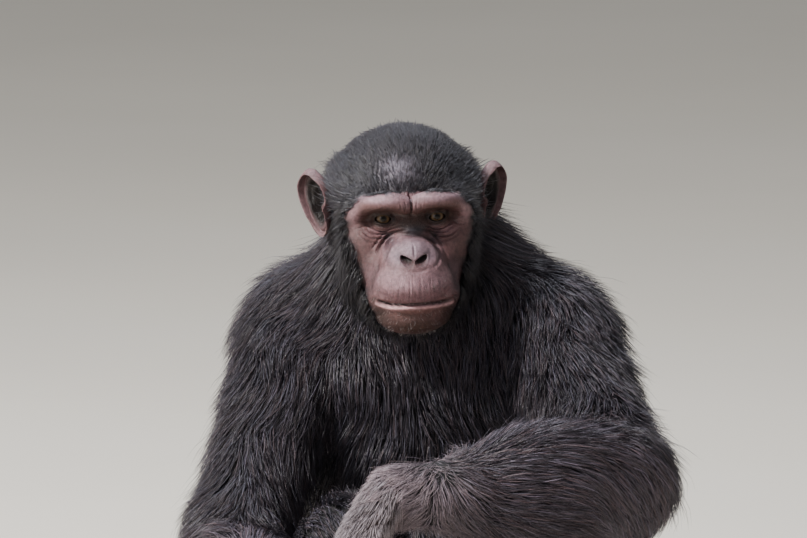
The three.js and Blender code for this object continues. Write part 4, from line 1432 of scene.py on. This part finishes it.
def spikes(name, path, outs, width, uv, tint):
    count, stops = path.shape[:2]
    along = np.gradient(path, axis=1)
    across = unit(np.cross(along, outs))[:, 1:-1]
    above = unit(np.cross(across, along[:, 1:-1]))
    half = (width[:, None] * np.array(WAIST[stops]) / 2)[..., None]
    middle = path[:, 1:-1]
    low = middle - above * half * FLATNESS * 0.4
    ridge = middle + above * half * FLATNESS * 1.3
    rings = np.stack([low + across * half, ridge, low - across * half], 2)
    points = np.concatenate([path[:, :1], rings.reshape(count, -1, 3), path[:, -1:]], axis=1)
    per = points.shape[1]
    faces = [(0, 1 + (i + 1) % 3, 1 + i) for i in range(3)]
    for r in range(stops - 3):
        for i in range(3):
            a, b = 1 + r * 3 + i, 1 + r * 3 + (i + 1) % 3
            faces += [(a, b, b + 3), (a, b + 3, a + 3)]
    top = per - 4
    faces += [(top + i, top + (i + 1) % 3, per - 1) for i in range(3)]
    faces = np.array(faces)
    index = (faces[None] + (np.arange(count) * per)[:, None, None]).reshape(-1)
    mesh = bpy.data.meshes.new(name)
    mesh.vertices.add(count * per)
    mesh.vertices.foreach_set("co", (points * MM).ravel())
    mesh.loops.add(len(index))
    mesh.loops.foreach_set("vertex_index", index)
    mesh.polygons.add(len(index) // 3)
    mesh.polygons.foreach_set("loop_start", np.arange(0, len(index), 3))
    mesh.polygons.foreach_set("use_smooth", np.ones(len(index) // 3, bool))
    mesh.update(calc_edges=True)
    share = np.repeat(np.linspace(0, 1, stops), [1] + [3] * (stops - 2) + [1])
    side_of = np.array([0.5] + [0, 0.5, 1] * (stops - 2) + [0.5])
    spot = np.column_stack([side_of, share]) * UV_PATCH
    place = (uv[:, None] + spot[None]).reshape(-1, 2)[index]
    layer = mesh.uv_layers.new(name="OFBake")
    layer.data.foreach_set("uv", place.astype(np.float32).ravel())
    made = bpy.data.objects.new(name, mesh)
    bpy.context.collection.objects.link(made)
    fade = ROOT_SHADE + TIP_LIGHT * share
    tones = (tint[:, None] * fade[None, :, None]).reshape(-1, 3)
    paint(made, "Tone", tones)
    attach(made, "root")
    return made


def hair_tones(count):
    pick = rng.choice(len(HAIR_TONES), count, p=HAIR_CHANCES)
    return np.array(HAIR_TONES)[pick] * rng.uniform(0.8, 1.25, (count, 1))


def turn_and_share(points, t):
    d, share, angle, along = to_tube(points, t, True)
    ends = t["centres"][(share * (len(t["centres"]) - 1)).round().astype(int)]
    past = ((points - ends) * along).sum(1) / t["length"]
    return angle / (2 * math.pi) + 0.5, np.clip((share + past + 0.3) / 1.6, 0, 1)


MOST_FACES = 190000
coat_pieces = []


def coat_of(label, node, path, outs, width, tint, uv):
    """One part's hairs, in as many pieces as the limit on triangles needs."""
    each = 6 * (path.shape[1] - 2)
    order = np.argsort(uv[:, 0])
    groups = np.array_split(order, int(np.ceil(len(order) * each / MOST_FACES)))
    for k, group in enumerate(groups):
        low, high = uv[group, 0].min(), uv[group, 0].max()
        place = np.column_stack([(uv[group, 0] - low) / (high - low + 1e-6), uv[group, 1]]) * 0.99
        name = f"coat_{label}" + (f"_{k + 1}" if len(groups) > 1 else "")
        made = spikes(name, path[group], outs[group], width[group], place, tint[group])
        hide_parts(node)
        coat_pieces.append(made)


# %% [markdown]
# ## Covering the body
# A real coat has short wool under long guard hairs, so the body is covered twice: first with
# short tufts that hide the skin, then with long ones. Hairs differ in tone from one to the
# next, and whole regions differ too, so both are mixed into the colour of each tuft.

# %% The coat of the body
# The forearms are browner and paler than the rest, and the hands are grey. The left wrist is
# painted pale grey: partly its grey hair, partly a painted highlight where the light falls.
on_forearms = np.array([1.0 if "forearm" in name else 0.0 for name in part_names])
FOREARM_BROWNER, BODY_LIGHTER = at(0.6, 0.5, 0.48), 1.05
WRIST_GREY_AND_HIGHLIGHT = "#8f848a"


def cover_body(roots, stops, patch, loose, layer, length_share):
    path, outs = grow(roots, stops, patch, loose, length_share)
    width = roots["look"][:, 1] * rng.uniform(0.7, 1.25, len(path))
    tint = hair_tones(len(path)) * BODY_LIGHTER
    off = roots["root"] - joints["left"]["wrist"]
    # The pale grey at the left wrist is partly grey hair and partly a painted highlight.
    at_lit_wrist = 1 - rise(np.linalg.norm(off, axis=1), 15, 85)
    grey = np.array(linear(WRIST_GREY_AND_HIGHLIGHT)) * rng.uniform(0.4, 1.4, (len(path), 1))
    tint += (grey - tint) * 0.7 * at_lit_wrist[:, None]
    width *= 1 - 0.3 * at_lit_wrist
    tint = tint * (1 + on_forearms[roots["owner"]][:, None] * FOREARM_BROWNER)
    for i, name in enumerate(part_names):
        mine = np.flatnonzero(roots["owner"] == i)
        uv = np.column_stack(turn_and_share(roots["root"][mine], tubes[name]))
        coat_of(f"{layer}_{name}", name, path[mine], outs[mine], width[mine], tint[mine], uv)


cover_body(under_roots, SHORT_STOPS, ((150, 0.25), (24, 0.4)), 0.18, "short", 0.66)
cover_body(body_roots, LONG_STOPS, ((150, 0.28), (20, 0.55)), 0.15, "long", 1.0)
print(len(coat_pieces), "pieces cover the body")

# %% [markdown]
# ## Hair on the head, hands and chin
# Hair on the head is finer and blacker than on the back, and on the forehead it is thin, and a painted
# sheen makes it grey.
# The backs of the hands are grey, and a few pale hairs stand on the chin. Each grows with the
# same function as the body's coat, with lengths and tones of its own.

# %% The coat of the head


def turn_of(off):
    """The turn about the upright axis, from 0 to 1."""
    return np.arctan2(off[:, 0], off[:, 1]) / (2 * math.pi) + 0.5


path, outs = grow(head_roots, LONG_STOPS, ((60, 0.2), (9, 0.35)), 0.15)
width = head_roots["look"][:, 1] * rng.uniform(0.7, 1.2, len(path))
own = to_head(head_roots["root"])
# Over the thin forehead patch the hairs are painted lighter, as a painted sheen.
gleam = thin_hair_and_sheen(own)[:, None]
at_back = rise(own[:, 1:2], -20, 40)
tint = hair_tones(len(path)) * (0.36 + 0.5 * at_back + 0.35 * gleam)
width *= 1 - 0.35 * gleam[:, 0]
own = own - HEAD_MIDDLE
uv = np.column_stack([turn_of(own), np.arcsin(unit(own)[:, 2]) / math.pi + 0.5])
coat_of("head", "head", path, outs, width, tint, uv)
print("the longest hair on the head is", head_looks[:, 0].max().round(), "mm")

# %% The backs of the hands
HAND_TONE, HAND_HAIRS_PER_CM2 = "#8a8085", 26
for side, skin_of_hand, points, normals, along, furry in hand_parts:
    per_cm2 = HAND_HAIRS_PER_CM2 * furry
    corners, mix = scatter(points, triangles_of(skin_of_hand), per_cm2, furry > 0.15)
    count = len(mix)
    down_hand = mixed(along[:, None], corners, mix)[:, 0]
    near_tips = down_hand.clip(0, 1)
    look = np.column_stack([21 - 11 * near_tips, np.full(count, 0.85), 6 - 3 * near_tips])
    roots = rooted(points, normals, corners, mix, look)
    path, outs = grow(roots, LONG_STOPS, ((40, 0.25), (9, 0.45)), 0.15)
    turned_by = turn_of(roots["root"] - joints[side]["wrist"])
    uv = np.column_stack([turned_by, (0.2 + 0.5 * down_hand).clip(0, 1)])
    tint = np.array(linear(HAND_TONE)) * rng.uniform(0.5, 1.3, (count, 1))
    coat_of(f"hand_{side}", f"hand_{side}", path, outs, look[:, 1], tint, uv)
    print(count, "hairs on the back of the", side, "hand")

# %% Sparse pale hairs on the chin and round the lips
# Their length, width and lift, and the height that their UV spans
CHIN_HAIR, CHIN_TONE, CHIN_UV_HEIGHT = [5.5, 0.26, 2.4], "#857b7a", 400
own_low = (own_points[:, 2] < -46) & (np.abs(own_points[:, 0]) < 42) & (own_points[:, 1] < -58)
beard = own_low & (hair_on_head < 0.4)
per_cm2 = 2 + 3.5 * rise(-own_points[:, 2], 78, 100)
corners, mix = scatter(head_points, triangles_of(head), per_cm2, beard)
count = len(mix)
roots = rooted(head_points, head_normals, corners, mix, np.tile(CHIN_HAIR, (count, 1)))
path, outs = grow(roots, SHORT_STOPS, (), 0.5)
own = to_head(roots["root"]) - HEAD_MIDDLE
uv = np.column_stack([turn_of(own), 0.5 + own[:, 2] / CHIN_UV_HEIGHT])
pale = np.array(linear(CHIN_TONE)) * rng.uniform(0.4, 1.2, (count, 1))
coat_of("chin", "head", path, outs, roots["look"][:, 1], pale, uv)
faces_of = [len(o.data.polygons) for o in coat_pieces]
print(len(coat_pieces), "coat pieces,", sum(faces_of), "triangles, most", max(faces_of))

# %% [markdown]
# ## Materials
# Each finish is worked out from the real one. Skin lets a little light in and is creased at a
# scale of about a millimetre. Hair is smooth keratin, so it is nearly black but has a cool
# gloss. The eye is wet. Patterns read Object coordinates, which are metres here.

# %% Helpers for materials


def new_finish(name, looks):
    """A material, its tree and its shader, with the shader's values set from the looks."""
    made = bpy.data.materials.new(name)
    made.use_nodes = True
    shader = made.node_tree.nodes["Principled BSDF"]
    for key, value in looks.items():
        shader.inputs[key].default_value = value
    return made, made.node_tree, shader


def add(tree, kind, settings=(), inputs=(), links=()):
    """Adds a node with its settings and input values, and links inputs from other outputs."""
    node = tree.nodes.new(kind)
    for key, value in dict(settings).items():
        setattr(node, key, value)
    for key, value in dict(inputs).items():
        node.inputs[key].default_value = value
    for key, source in dict(links).items():
        tree.links.new(source, node.inputs[key])
    return node


def set_stops(ramp, stops):
    """Fills a colour ramp with places and colours."""
    while len(ramp.elements) < len(stops):
        ramp.elements.new(0.5)
    for stop, (place, colour) in zip(ramp.elements, stops):
        stop.position = place
        stop.color = (*linear(colour), 1)


def place_of(tree):
    return add(tree, "ShaderNodeTexCoord").outputs["Object"]


def per_mm(size):
    """The scale of a noise or cell pattern whose grains are `size` mm across."""
    return 1000 / size


# %% Bare face skin: pores, fine creases and painted tones
# Light goes a millimetre or two into living skin, and red goes furthest
FACE_LOOKS = {
    "Roughness": 0.5,
    "IOR": 1.4,
    "Subsurface Weight": 0.12,
    "Subsurface Radius": (0.0022, 0.0011, 0.0008),
    "Subsurface Scale": 1.0,
}
face_skin, tree, shader = new_finish("bare_face_skin", FACE_LOOKS)
where = place_of(tree)
painted = add(tree, "ShaderNodeAttribute", {"attribute_name": "Tone"})
blotch = add(
    tree,
    "ShaderNodeTexNoise",
    inputs={"Scale": per_mm(3.4), "Detail": 6},
    links={"Vector": where},
)
shift = add(
    tree,
    "ShaderNodeMapRange",
    inputs={"From Min": 0.3, "From Max": 0.7, "To Min": 0.7, "To Max": 1.25},
    links={"Value": blotch.outputs["Fac"]},
)
tinted = add(
    tree,
    "ShaderNodeVectorMath",
    {"operation": "SCALE"},
    links={0: painted.outputs["Color"], "Scale": shift.outputs["Result"]},
)
tree.links.new(tinted.outputs["Vector"], shader.inputs["Base Color"])
cells = add(
    tree,
    "ShaderNodeTexVoronoi",
    {"feature": "DISTANCE_TO_EDGE"},
    {"Scale": per_mm(1.8), "Randomness": 1.0},
    {"Vector": where},
)
groove = add(
    tree,
    "ShaderNodeMapRange",
    inputs={"From Min": 0.0, "From Max": 0.25},
    links={"Value": cells.outputs["Distance"]},
)
grain = add(
    tree,
    "ShaderNodeTexNoise",
    inputs={"Scale": per_mm(2.6), "Detail": 6},
    links={"Vector": where},
)
relief = add(
    tree,
    "ShaderNodeMath",
    {"operation": "MULTIPLY_ADD"},
    {1: 0.35},
    {0: groove.outputs["Result"], 2: grain.outputs["Fac"]},
)
bump = add(
    tree,
    "ShaderNodeBump",
    inputs={"Strength": 0.7, "Distance": 0.0008},
    links={"Height": relief.outputs["Value"]},
)
tree.links.new(bump.outputs["Normal"], shader.inputs["Normal"])

# %% Bare hand skin: dark, dry and creased
hand_skin, tree, shader = new_finish("bare_hand_skin", {"Roughness": 0.55, "IOR": 1.4})
where = place_of(tree)
blotch = add(
    tree,
    "ShaderNodeTexNoise",
    inputs={"Scale": per_mm(7), "Detail": 6},
    links={"Vector": where},
)
shades = add(tree, "ShaderNodeValToRGB", links={"Fac": blotch.outputs["Fac"]})
set_stops(shades.color_ramp, [(0.3, "#2c2424"), (0.75, "#5a4a49")])
tree.links.new(shades.outputs["Color"], shader.inputs["Base Color"])
cells = add(
    tree,
    "ShaderNodeTexVoronoi",
    {"feature": "DISTANCE_TO_EDGE"},
    {"Scale": per_mm(2.2), "Randomness": 1.0},
    {"Vector": where},
)
groove = add(
    tree,
    "ShaderNodeMapRange",
    inputs={"From Min": 0.0, "From Max": 0.3},
    links={"Value": cells.outputs["Distance"]},
)
bump = add(
    tree,
    "ShaderNodeBump",
    inputs={"Strength": 0.6, "Distance": 0.0008},
    links={"Height": groove.outputs["Result"]},
)
tree.links.new(bump.outputs["Normal"], shader.inputs["Normal"])

# %% Keratin nail: smooth, dark and faintly ridged
nail, tree, shader = new_finish("keratin_nail", {"Roughness": 0.35, "IOR": 1.54})
streak = add(
    tree,
    "ShaderNodeTexNoise",
    inputs={"Scale": per_mm(3), "Detail": 3},
    links={"Vector": place_of(tree)},
)
shades = add(tree, "ShaderNodeValToRGB", links={"Fac": streak.outputs["Fac"]})
set_stops(shades.color_ramp, [(0.0, "#1d1716"), (1.0, "#4c403b")])
tree.links.new(shades.outputs["Color"], shader.inputs["Base Color"])

# %% Wet eye: pupil, amber iris with rays, dark rim and brown white
EYE_LOOKS = {"Roughness": 0.12, "IOR": 1.376, "Specular IOR Level": 0.3}
EYE_RINGS = [
    # how far out from the pupil's middle, as a share of the ball's radius, and the colour there
    (0.0, "#0b0806"),
    (PUPIL_RADIUS / EYE_RADIUS * 0.8, "#0e0a07"),
    (PUPIL_RADIUS / EYE_RADIUS + 0.02, "#382b20"),
    (0.4, "#5e4b36"),
    (0.5, "#43352a"),
    (0.57, "#1c110a"),
    (0.64, "#120c09"),
    (0.8, "#2c201b"),
]
eye_wet, tree, shader = new_finish("wet_eye", EYE_LOOKS)
ring = add(tree, "ShaderNodeAttribute", {"attribute_name": "Ring"})
parts = add(tree, "ShaderNodeSeparateColor", links={"Color": ring.outputs["Color"]})
squeeze = add(
    tree,
    "ShaderNodeMath",
    {"operation": "MULTIPLY"},
    {1: 0.12},
    {0: parts.outputs["Red"]},
)
stretch = add(
    tree,
    "ShaderNodeCombineXYZ",
    links={"X": squeeze.outputs["Value"], "Y": parts.outputs["Green"]},
)
rays = add(
    tree,
    "ShaderNodeTexNoise",
    {"noise_dimensions": "2D"},
    {"Scale": 26.0, "Detail": 4, "Roughness": 0.7},
    {"Vector": stretch.outputs["Vector"]},
)
wobble = add(
    tree,
    "ShaderNodeMath",
    {"operation": "MULTIPLY_ADD"},
    {1: 0.06, 2: -0.03},
    {0: rays.outputs["Fac"]},
)
radius = add(
    tree,
    "ShaderNodeMath",
    {"operation": "ADD"},
    links={0: parts.outputs["Red"], 1: wobble.outputs["Value"]},
)
rings = add(tree, "ShaderNodeValToRGB", links={"Fac": radius.outputs["Value"]})
set_stops(rings.color_ramp, EYE_RINGS)
tree.links.new(rings.outputs["Color"], shader.inputs["Base Color"])

# %% Under-coat: the dark skin below the hair, with short fuzz drawn as streaks
under_coat, tree, shader = new_finish("skin_under_hair", {"Roughness": 0.7})
fuzz = add(
    tree,
    "ShaderNodeTexNoise",
    inputs={"Scale": per_mm(3), "Detail": 6, "Roughness": 0.7},
    links={"Vector": place_of(tree)},
)
shades = add(tree, "ShaderNodeValToRGB", links={"Fac": fuzz.outputs["Fac"]})
set_stops(shades.color_ramp, [(0.0, "#060506"), (1.0, "#1d1a1c")])
tree.links.new(shades.outputs["Color"], shader.inputs["Base Color"])
bump = add(
    tree,
    "ShaderNodeBump",
    inputs={"Strength": 0.8, "Distance": 0.002},
    links={"Height": fuzz.outputs["Fac"]},
)
tree.links.new(bump.outputs["Normal"], shader.inputs["Normal"])

# %% Coat hair: black-brown keratin with a cool gloss, paler towards some tips
HAIR_LOOKS = {
    "Roughness": 0.42,
    "IOR": 1.55,
    "Sheen Weight": 0.05,
    "Sheen Roughness": 0.4,
    "Sheen Tint": (*linear("#aeb4cc"), 1),
}
coat_hair, tree, shader = new_finish("coat_hair", HAIR_LOOKS)
shade = add(tree, "ShaderNodeAttribute", {"attribute_name": "Tone"})
tree.links.new(shade.outputs["Color"], shader.inputs["Base Color"])

# %% Dress the pieces


def dress(objects, finish):
    for o in objects:
        o.data.materials.clear()
        o.data.materials.append(finish)


dress([body_skin], under_coat)
dress([head, *ears], face_skin)
dress([*skins_of_hands, *skins_of_feet], hand_skin)
dress(nail_pieces, nail)
dress(eyes, eye_wet)
dress(coat_pieces, coat_hair)
print(len(bpy.data.materials), "finishes")

# %% [markdown]
# ## Floor, light and camera
# The model sits on a plain pale floor. The main light comes from the upper left of the view.
# A weak, wide one fills its shadows from low on the same side, and a third lies over the back.
# The camera stands 8 m away with a long lens, a little above the eyes, as one would
# photograph a wary animal.

# %% Floor
FLOOR_SIZE = 120
deselect()
bpy.ops.mesh.primitive_plane_add(size=FLOOR_SIZE, location=(0, 0, 0))
floor = bpy.context.object
floor.name = "floor"
plaster, tree, shader = new_finish("pale_plaster_floor", {"Roughness": 0.9})
mottle = add(
    tree,
    "ShaderNodeTexNoise",
    inputs={"Scale": 1.2, "Detail": 4},
    links={"Vector": place_of(tree)},
)
shades = add(tree, "ShaderNodeValToRGB", links={"Fac": mottle.outputs["Fac"]})
set_stops(shades.color_ramp, [(0.0, "#d2ccbf"), (1.0, "#dcd6ca")])
tree.links.new(shades.outputs["Color"], shader.inputs["Base Color"])
dress([floor], plaster)
print("the floor is", FLOOR_SIZE, "m wide")

# %% Lights
AIM = Vector((-0.0252, -0.035, 0.505))
SKY_TONE, SKY_STRENGTH = "#e6e8ec", 0.45
LAMPS = [
    # name, place in metres, size in metres, power in watts, colour
    ("key", (-3.05, -1.45, 3.5), 0.5, 470, "#fffcf8"),
    ("fill", (-2.4, -3.0, 1.0), 1.8, 22, "#e8eeff"),
    ("top", (-0.4, 1.2, 3.2), 1.2, 90, "#eef2ff"),
]
for name, place, size, power, colour in LAMPS:
    data = bpy.data.lights.new(name, "AREA")
    data.shape = "DISK"
    data.size = size
    data.energy = power
    data.color = linear(colour)
    lamp = bpy.data.objects.new(name, data)
    bpy.context.collection.objects.link(lamp)
    lamp.location = place
    lamp.rotation_euler = (AIM - Vector(place)).to_track_quat("-Z", "Y").to_euler()
world = bpy.data.worlds.new("studio")
bpy.context.scene.world = world
world.use_nodes = True
sky = world.node_tree.nodes["Background"]
sky.inputs["Color"].default_value = (*linear(SKY_TONE), 1)
sky.inputs["Strength"].default_value = SKY_STRENGTH
print(len(LAMPS), "lamps and a pale sky")

# %% Camera
CAMERA_BACK, CAMERA_RISE = 8.0, math.radians(8)
LENS_LENGTH, SENSOR_WIDTH, SEEN_TO = 375.6, 36, 200
lens = bpy.data.cameras.new("lens")
lens.lens = LENS_LENGTH
lens.sensor_width = SENSOR_WIDTH
lens.clip_end = SEEN_TO
camera = bpy.data.objects.new("camera", lens)
bpy.context.collection.objects.link(camera)
camera.location = AIM + Vector((0, -math.cos(CAMERA_RISE), math.sin(CAMERA_RISE))) * CAMERA_BACK
camera.rotation_euler = (math.pi / 2 - CAMERA_RISE, 0, 0)
bpy.context.scene.camera = camera
print("camera at", [round(c, 3) for c in camera.location])
